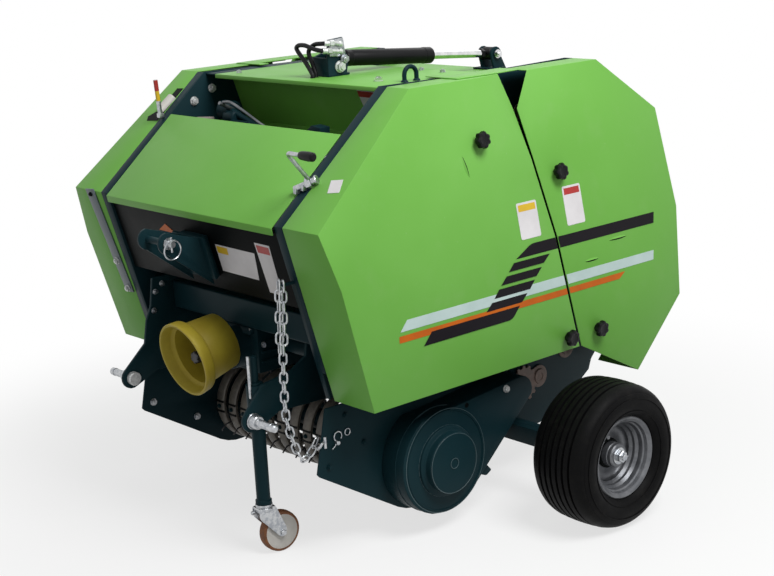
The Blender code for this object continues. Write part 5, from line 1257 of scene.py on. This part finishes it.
def twine_gear():
    """Wrapper arm, its bearing, the feed roller and guides inside the box."""
    refined("twine_arm", "teal", 0.0012)
    refined("twine_roller", "teal", 0.0008, 2, "zinc", lambda c: hypot(c.y + 0.33,
            c.z - 1.04) < 0.0165 and -0.1235 < c.x < 0.3055)
    bm = bmesh.new()
    for x in (-0.352, -0.262):
        lathe(bm, [(0, 0), (0, 0.028), (0.003, 0.03), (0.009, 0.03), (0.012, 0.028), (0.012, 0)], (x, -0.31,
                1.085), (1, 0, 0), 32)
    piece("twine_arm_flanges", bm, "teal", "frame")
    bm = bmesh.new()
    rod(bm, (-0.398, -0.352, 1.052), (-0.345, -0.352, 1.052), 0.0165, 24)
    rod(bm, (-0.398, -0.372, 1.01), (-0.3, -0.372, 1.01), 0.0195, 28)
    piece("twine_tension_rolls", bm, "white", "frame")
    bm = bmesh.new()
    tube(bm, smooth_line([(-0.205, -0.292, 1.092), (-0.15, -0.285, 1.098), (-0.09, -0.27, 1.08), (-0.03,
            -0.262, 1.072)], 5), 0.0045, 10)
    for x in (0.07, 0.12, 0.17, 0.22):
        lathe(bm, [(0, 0.007), (0, 0.012), (0.006, 0.012), (0.006, 0.007)], (x, -0.3, 1.046), (0.2, -0.6,
                0.6), 16)
    piece("twine_guides", bm, "zinc", "frame")
    bm = bmesh.new()
    for x in (0.085, 0.165, 0.245):
        block(bm, (x - 0.016, -0.306, 1.002), (x + 0.016, -0.296, 1.052))
        lathe(bm, [(0, 0), (0, 0.014), (0.008, 0.014), (0.01, 0.01), (0.01, 0)], (x, -0.301, 1.05), (0, 0, 1),
                20)
    block(bm, (-0.1, -0.306, 1.0), (0.3, -0.3, 1.03))
    piece("twine_blocks", bm, "black", "frame", width=0.0012)
    bm = bmesh.new()
    prism(bm, [Vector(p) for p in ((-0.395, -0.352, 1.075), (-0.318, -0.352, 1.075), (-0.312, -0.352, 1.118),
            (-0.395, -0.352, 1.112))], Vector((0, 0.04, 0)))
    piece("knotter_box", bm, "label grey", "frame", width=0.003)
    bm = bmesh.new()
    for x, y, z, r, long in ((-0.3, -0.285, 1.135, 0.03, 0.055), (-0.262, -0.3, 1.118, 0.022, 0.05), (-0.215,
            -0.32, 1.08, 0.036, 0.09), (-0.11, -0.32, 1.07, 0.028, 0.06)):
        lathe(bm, [(0, 0), (0, r * 0.8), (0.003, r), (long - 0.003, r), (long, r * 0.8), (long, 0)], (x, y,
                z), (1, 0, 0), 28)
    prism(bm, [Vector(p) for p in ((0.14, -0.33, 1.06), (0.205, -0.33, 1.062), (0.21, -0.33, 1.124), (0.172,
            -0.33, 1.128), (0.145, -0.33, 1.11))], Vector((0, 0.035, 0)))
    piece("twine_drums", bm, "teal", "frame", width=0.001)
    bm = bmesh.new()
    tube(bm, smooth_line([(-0.243, -0.325, 1.166), (-0.2, -0.328, 1.168), (-0.13, -0.33, 1.145), (-0.063,
            -0.33, 1.118), (-0.01, -0.325, 1.096)], 4), 0.0045, 12)
    rod(bm, (-0.243, -0.34, 1.166), (-0.243, -0.29, 1.14), 0.006, 14)
    piece("twine_lever", bm, "rollers", "frame")
    for x in (0.085, 0.165, 0.245):
        bolt("frame", (x, -0.307, 1.038), (0, -1, 0.2), "M6")


def roller_beds():
    """Each bed's name, body and the (y, z) centres of its rollers."""
    step = degrees(2 * asin((ROLLER_R + ROLLER_GAP) / BED_R))
    for name, body, first, count in (("front", "frame", 105, 6), ("feed", "frame", 250, 2), ("rear",
            "tailgate", 250 + 2 * step - 360, 9)):
        angles = [radians(first + step * i) for i in range(count)]
        yield name, body, [(BED_Y + BED_R * cos(a), BED_Z + BED_R * sin(a)) for a in angles]


def roller_ribs():
    """Lengthwise ribs on the chamber rollers, which grip the bale."""
    for name, body, centres in roller_beds():
        bm = bmesh.new()
        plate(bm, [(-0.004, 0.059), (0.004, 0.059), (0.003, 0.0635), (-0.003, 0.0635)], -0.388, 0.388)
        spots = [((0, *centre), (radians(36 * k + 9 * i), 0, 0)) for i, centre in enumerate(centres)
                for k in range(10)]
        row_of(name + "_roller_ribs", bm, spots, "rollers", body)


def axle_details():
    for side in (1, -1):
        for y in (0.101, 0.169):
            for z in (0.193, 0.216):
                bolt("frame", (side * 0.6492, y, z), (side, 0, 0), "M8", "teal")
        for y, z in ((0.134, 0.212), (0.14, 0.28)):
            bolt("frame", (side * 0.417, y, z), (side, 0, 0), "M12")
        for z in (0.615, 0.75, 0.9, 1.02):
            y = at_height((0.6685, 1.077), (0.7195, 0.505), z)[0]
            bolt("tailgate", (side * 0.418, y + 0.0003, z), (0, 1, 0.08), "M8")
        bolt("frame", (side * 0.4245, 0.0, 1.195), (side, 0, 0), "M16")


def bearings():
    """Flange bearings of the rollers on the outer faces of the side plates, and one drive sprocket."""
    for name, body, centres in roller_beds():
        bm = bmesh.new()
        lathe(bm, [(0, 0), (0, 0.034), (0.004, 0.034), (0.005, 0.024), (0.01, 0.022), (0.01, 0.012), (0.0085,
                0.011), (0.0085, 0)], (0, 0, 0), (1, 0, 0), 24)
        spots = []
        for y, z in centres:
            spots += [((0.4063, y, z), (0, 0, 0)), ((-0.4063, y, z), (0, 0, pi))]
        row_of(name + "_bearings", bm, spots, "bearing", body)
    bm = bmesh.new()

    def teeth(angle, along):
        return 1.0 if cos(14 * angle) > 0 else 0.86
    lathe(bm, [(0, 0.02), (0, 0.056), (0.006, 0.056), (0.006, 0.02)], (0.4075, 0.222, 0.3), (1, 0, 0), 84,
            teeth)
    piece("roller_sprocket", bm, "bearing", "tailgate", angle=20)


frame_sheets()
for label, side in (("left", 1), ("right", -1)):
    wheel(label, side)
    stripes(side)
    side_labels(side)
    knobs(side)
    slits(side)
drive_guard()
gearbox()
pickup()
drive_cover()
chain()
jack()
cylinder()
fittings()
hitch()
labels()
small_pieces()
twine_gear()
roller_ribs()
axle_details()
bearings()
make_bolts()


SKY = 0.36                       # strength of the world for rays that do not show the background
FLOOR, FLOOR_SEEN = 0.45, 0.85   # the floor's grey for those rays, and as it is seen
LAMPS = (("key_light", (3.2, -0.2, 4.5), 2.4, 190), ("rear_fill", (-1.5, 3.4, 4.2), 3.0, 20))
CAMERA_AT, YAW, PITCH, ROLL = (3.493, -2.89875, 1.714), 49.49, 14.05, -3.06
LENS, SENSOR = 71.97, 36.0


# --- light, floor and camera ------------------------------------------------------------
def background_rays(tree):
    """1 for rays that show the background (camera, glossy and transmission rays) and 0 for the rest."""
    direct, mirrored, passed = [tree.add("ShaderNodeLightPath", output=f"Is {kind} Ray")
            for kind in ("Camera", "Glossy", "Transmission")]
    return direct.math("MAXIMUM", direct, mirrored.math("MAXIMUM", mirrored, passed))


def studio():
    world = bpy.data.worlds.new("studio")
    bpy.context.scene.world = world
    world.use_nodes = True
    tree = Tree(world.node_tree)
    seen = background_rays(tree)
    back = world.node_tree.nodes["Background"]
    back.inputs["Color"].default_value = (1, 1, 1, 1)
    world.node_tree.links.new((seen * (1 - SKY) + SKY).socket, back.inputs["Strength"])

    floor = bpy.data.meshes.new("floor")
    floor.from_pydata([(-30, -30, 0), (30, -30, 0), (30, 30, 0), (-30, 30, 0)], [], [(0, 1, 2, 3)])
    ground = linked("floor", floor)
    material = bpy.data.materials.new("floor_pale")
    material.use_nodes = True
    tree = Tree(material.node_tree)
    shader = material.node_tree.nodes["Principled BSDF"]
    shader.inputs["Roughness"].default_value = 0.9
    shader.inputs["Specular IOR Level"].default_value = 0.1
    glow = tree.add("ShaderNodeEmission", sockets={"Color": (1, 1, 1, 1), "Strength": 1.0})
    seen = background_rays(tree)
    pale = tree.add("ShaderNodeMix", {"data_type": 'RGBA'}, {0: seen, 6: (FLOOR, FLOOR, FLOOR, 1),
            7: (FLOOR_SEEN, FLOOR_SEEN, FLOOR_SEEN, 1)}, 2)
    tree.tree.links.new(pale.socket, shader.inputs["Base Color"])
    place = tree.add("ShaderNodeTexCoord", output=3)
    distance = tree.add("ShaderNodeVectorMath", {"operation": 'LENGTH'}, {0: place}, "Value")
    share = seen * (distance.step(0.9, 2.2) * 0.3 + 0.7)
    mixed = tree.add("ShaderNodeMixShader", sockets={0: share, 1: Value(tree, shader.outputs[0]), 2: glow})
    output = material.node_tree.nodes["Material Output"]
    material.node_tree.links.new(mixed.socket, output.inputs["Surface"])
    floor.materials.append(material)

    for name, place, size, power in LAMPS:
        data = bpy.data.lights.new(name, 'AREA')
        data.shape, data.size, data.energy = 'DISK', size, power
        lamp = bpy.data.objects.new(name, data)
        bpy.context.scene.collection.objects.link(lamp)
        lamp.location = place
        lamp.rotation_euler = (Vector(place) - Vector((0, 0, 0.6))).to_track_quat('Z', 'Y').to_euler()


def camera():
    data = bpy.data.cameras.new("camera")
    data.lens, data.sensor_width = LENS, SENSOR
    view = bpy.data.objects.new("camera", data)
    bpy.context.scene.collection.objects.link(view)
    yaw, pitch, roll = radians(YAW), radians(PITCH), radians(ROLL)
    back = Vector((sin(yaw) * cos(pitch), -cos(yaw) * cos(pitch), sin(pitch)))
    right = (-back).cross(Vector((0, 0, 1))).normalized()
    up = right.cross(-back)
    right = right * cos(roll) + up * sin(roll)
    up = back.cross(right)
    view.matrix_world = Matrix.Translation(CAMERA_AT) @ Matrix((right, up, back)).transposed().to_4x4()
    bpy.context.scene.camera = view
    bpy.context.scene.view_settings.view_transform = 'Standard'


studio()
camera()
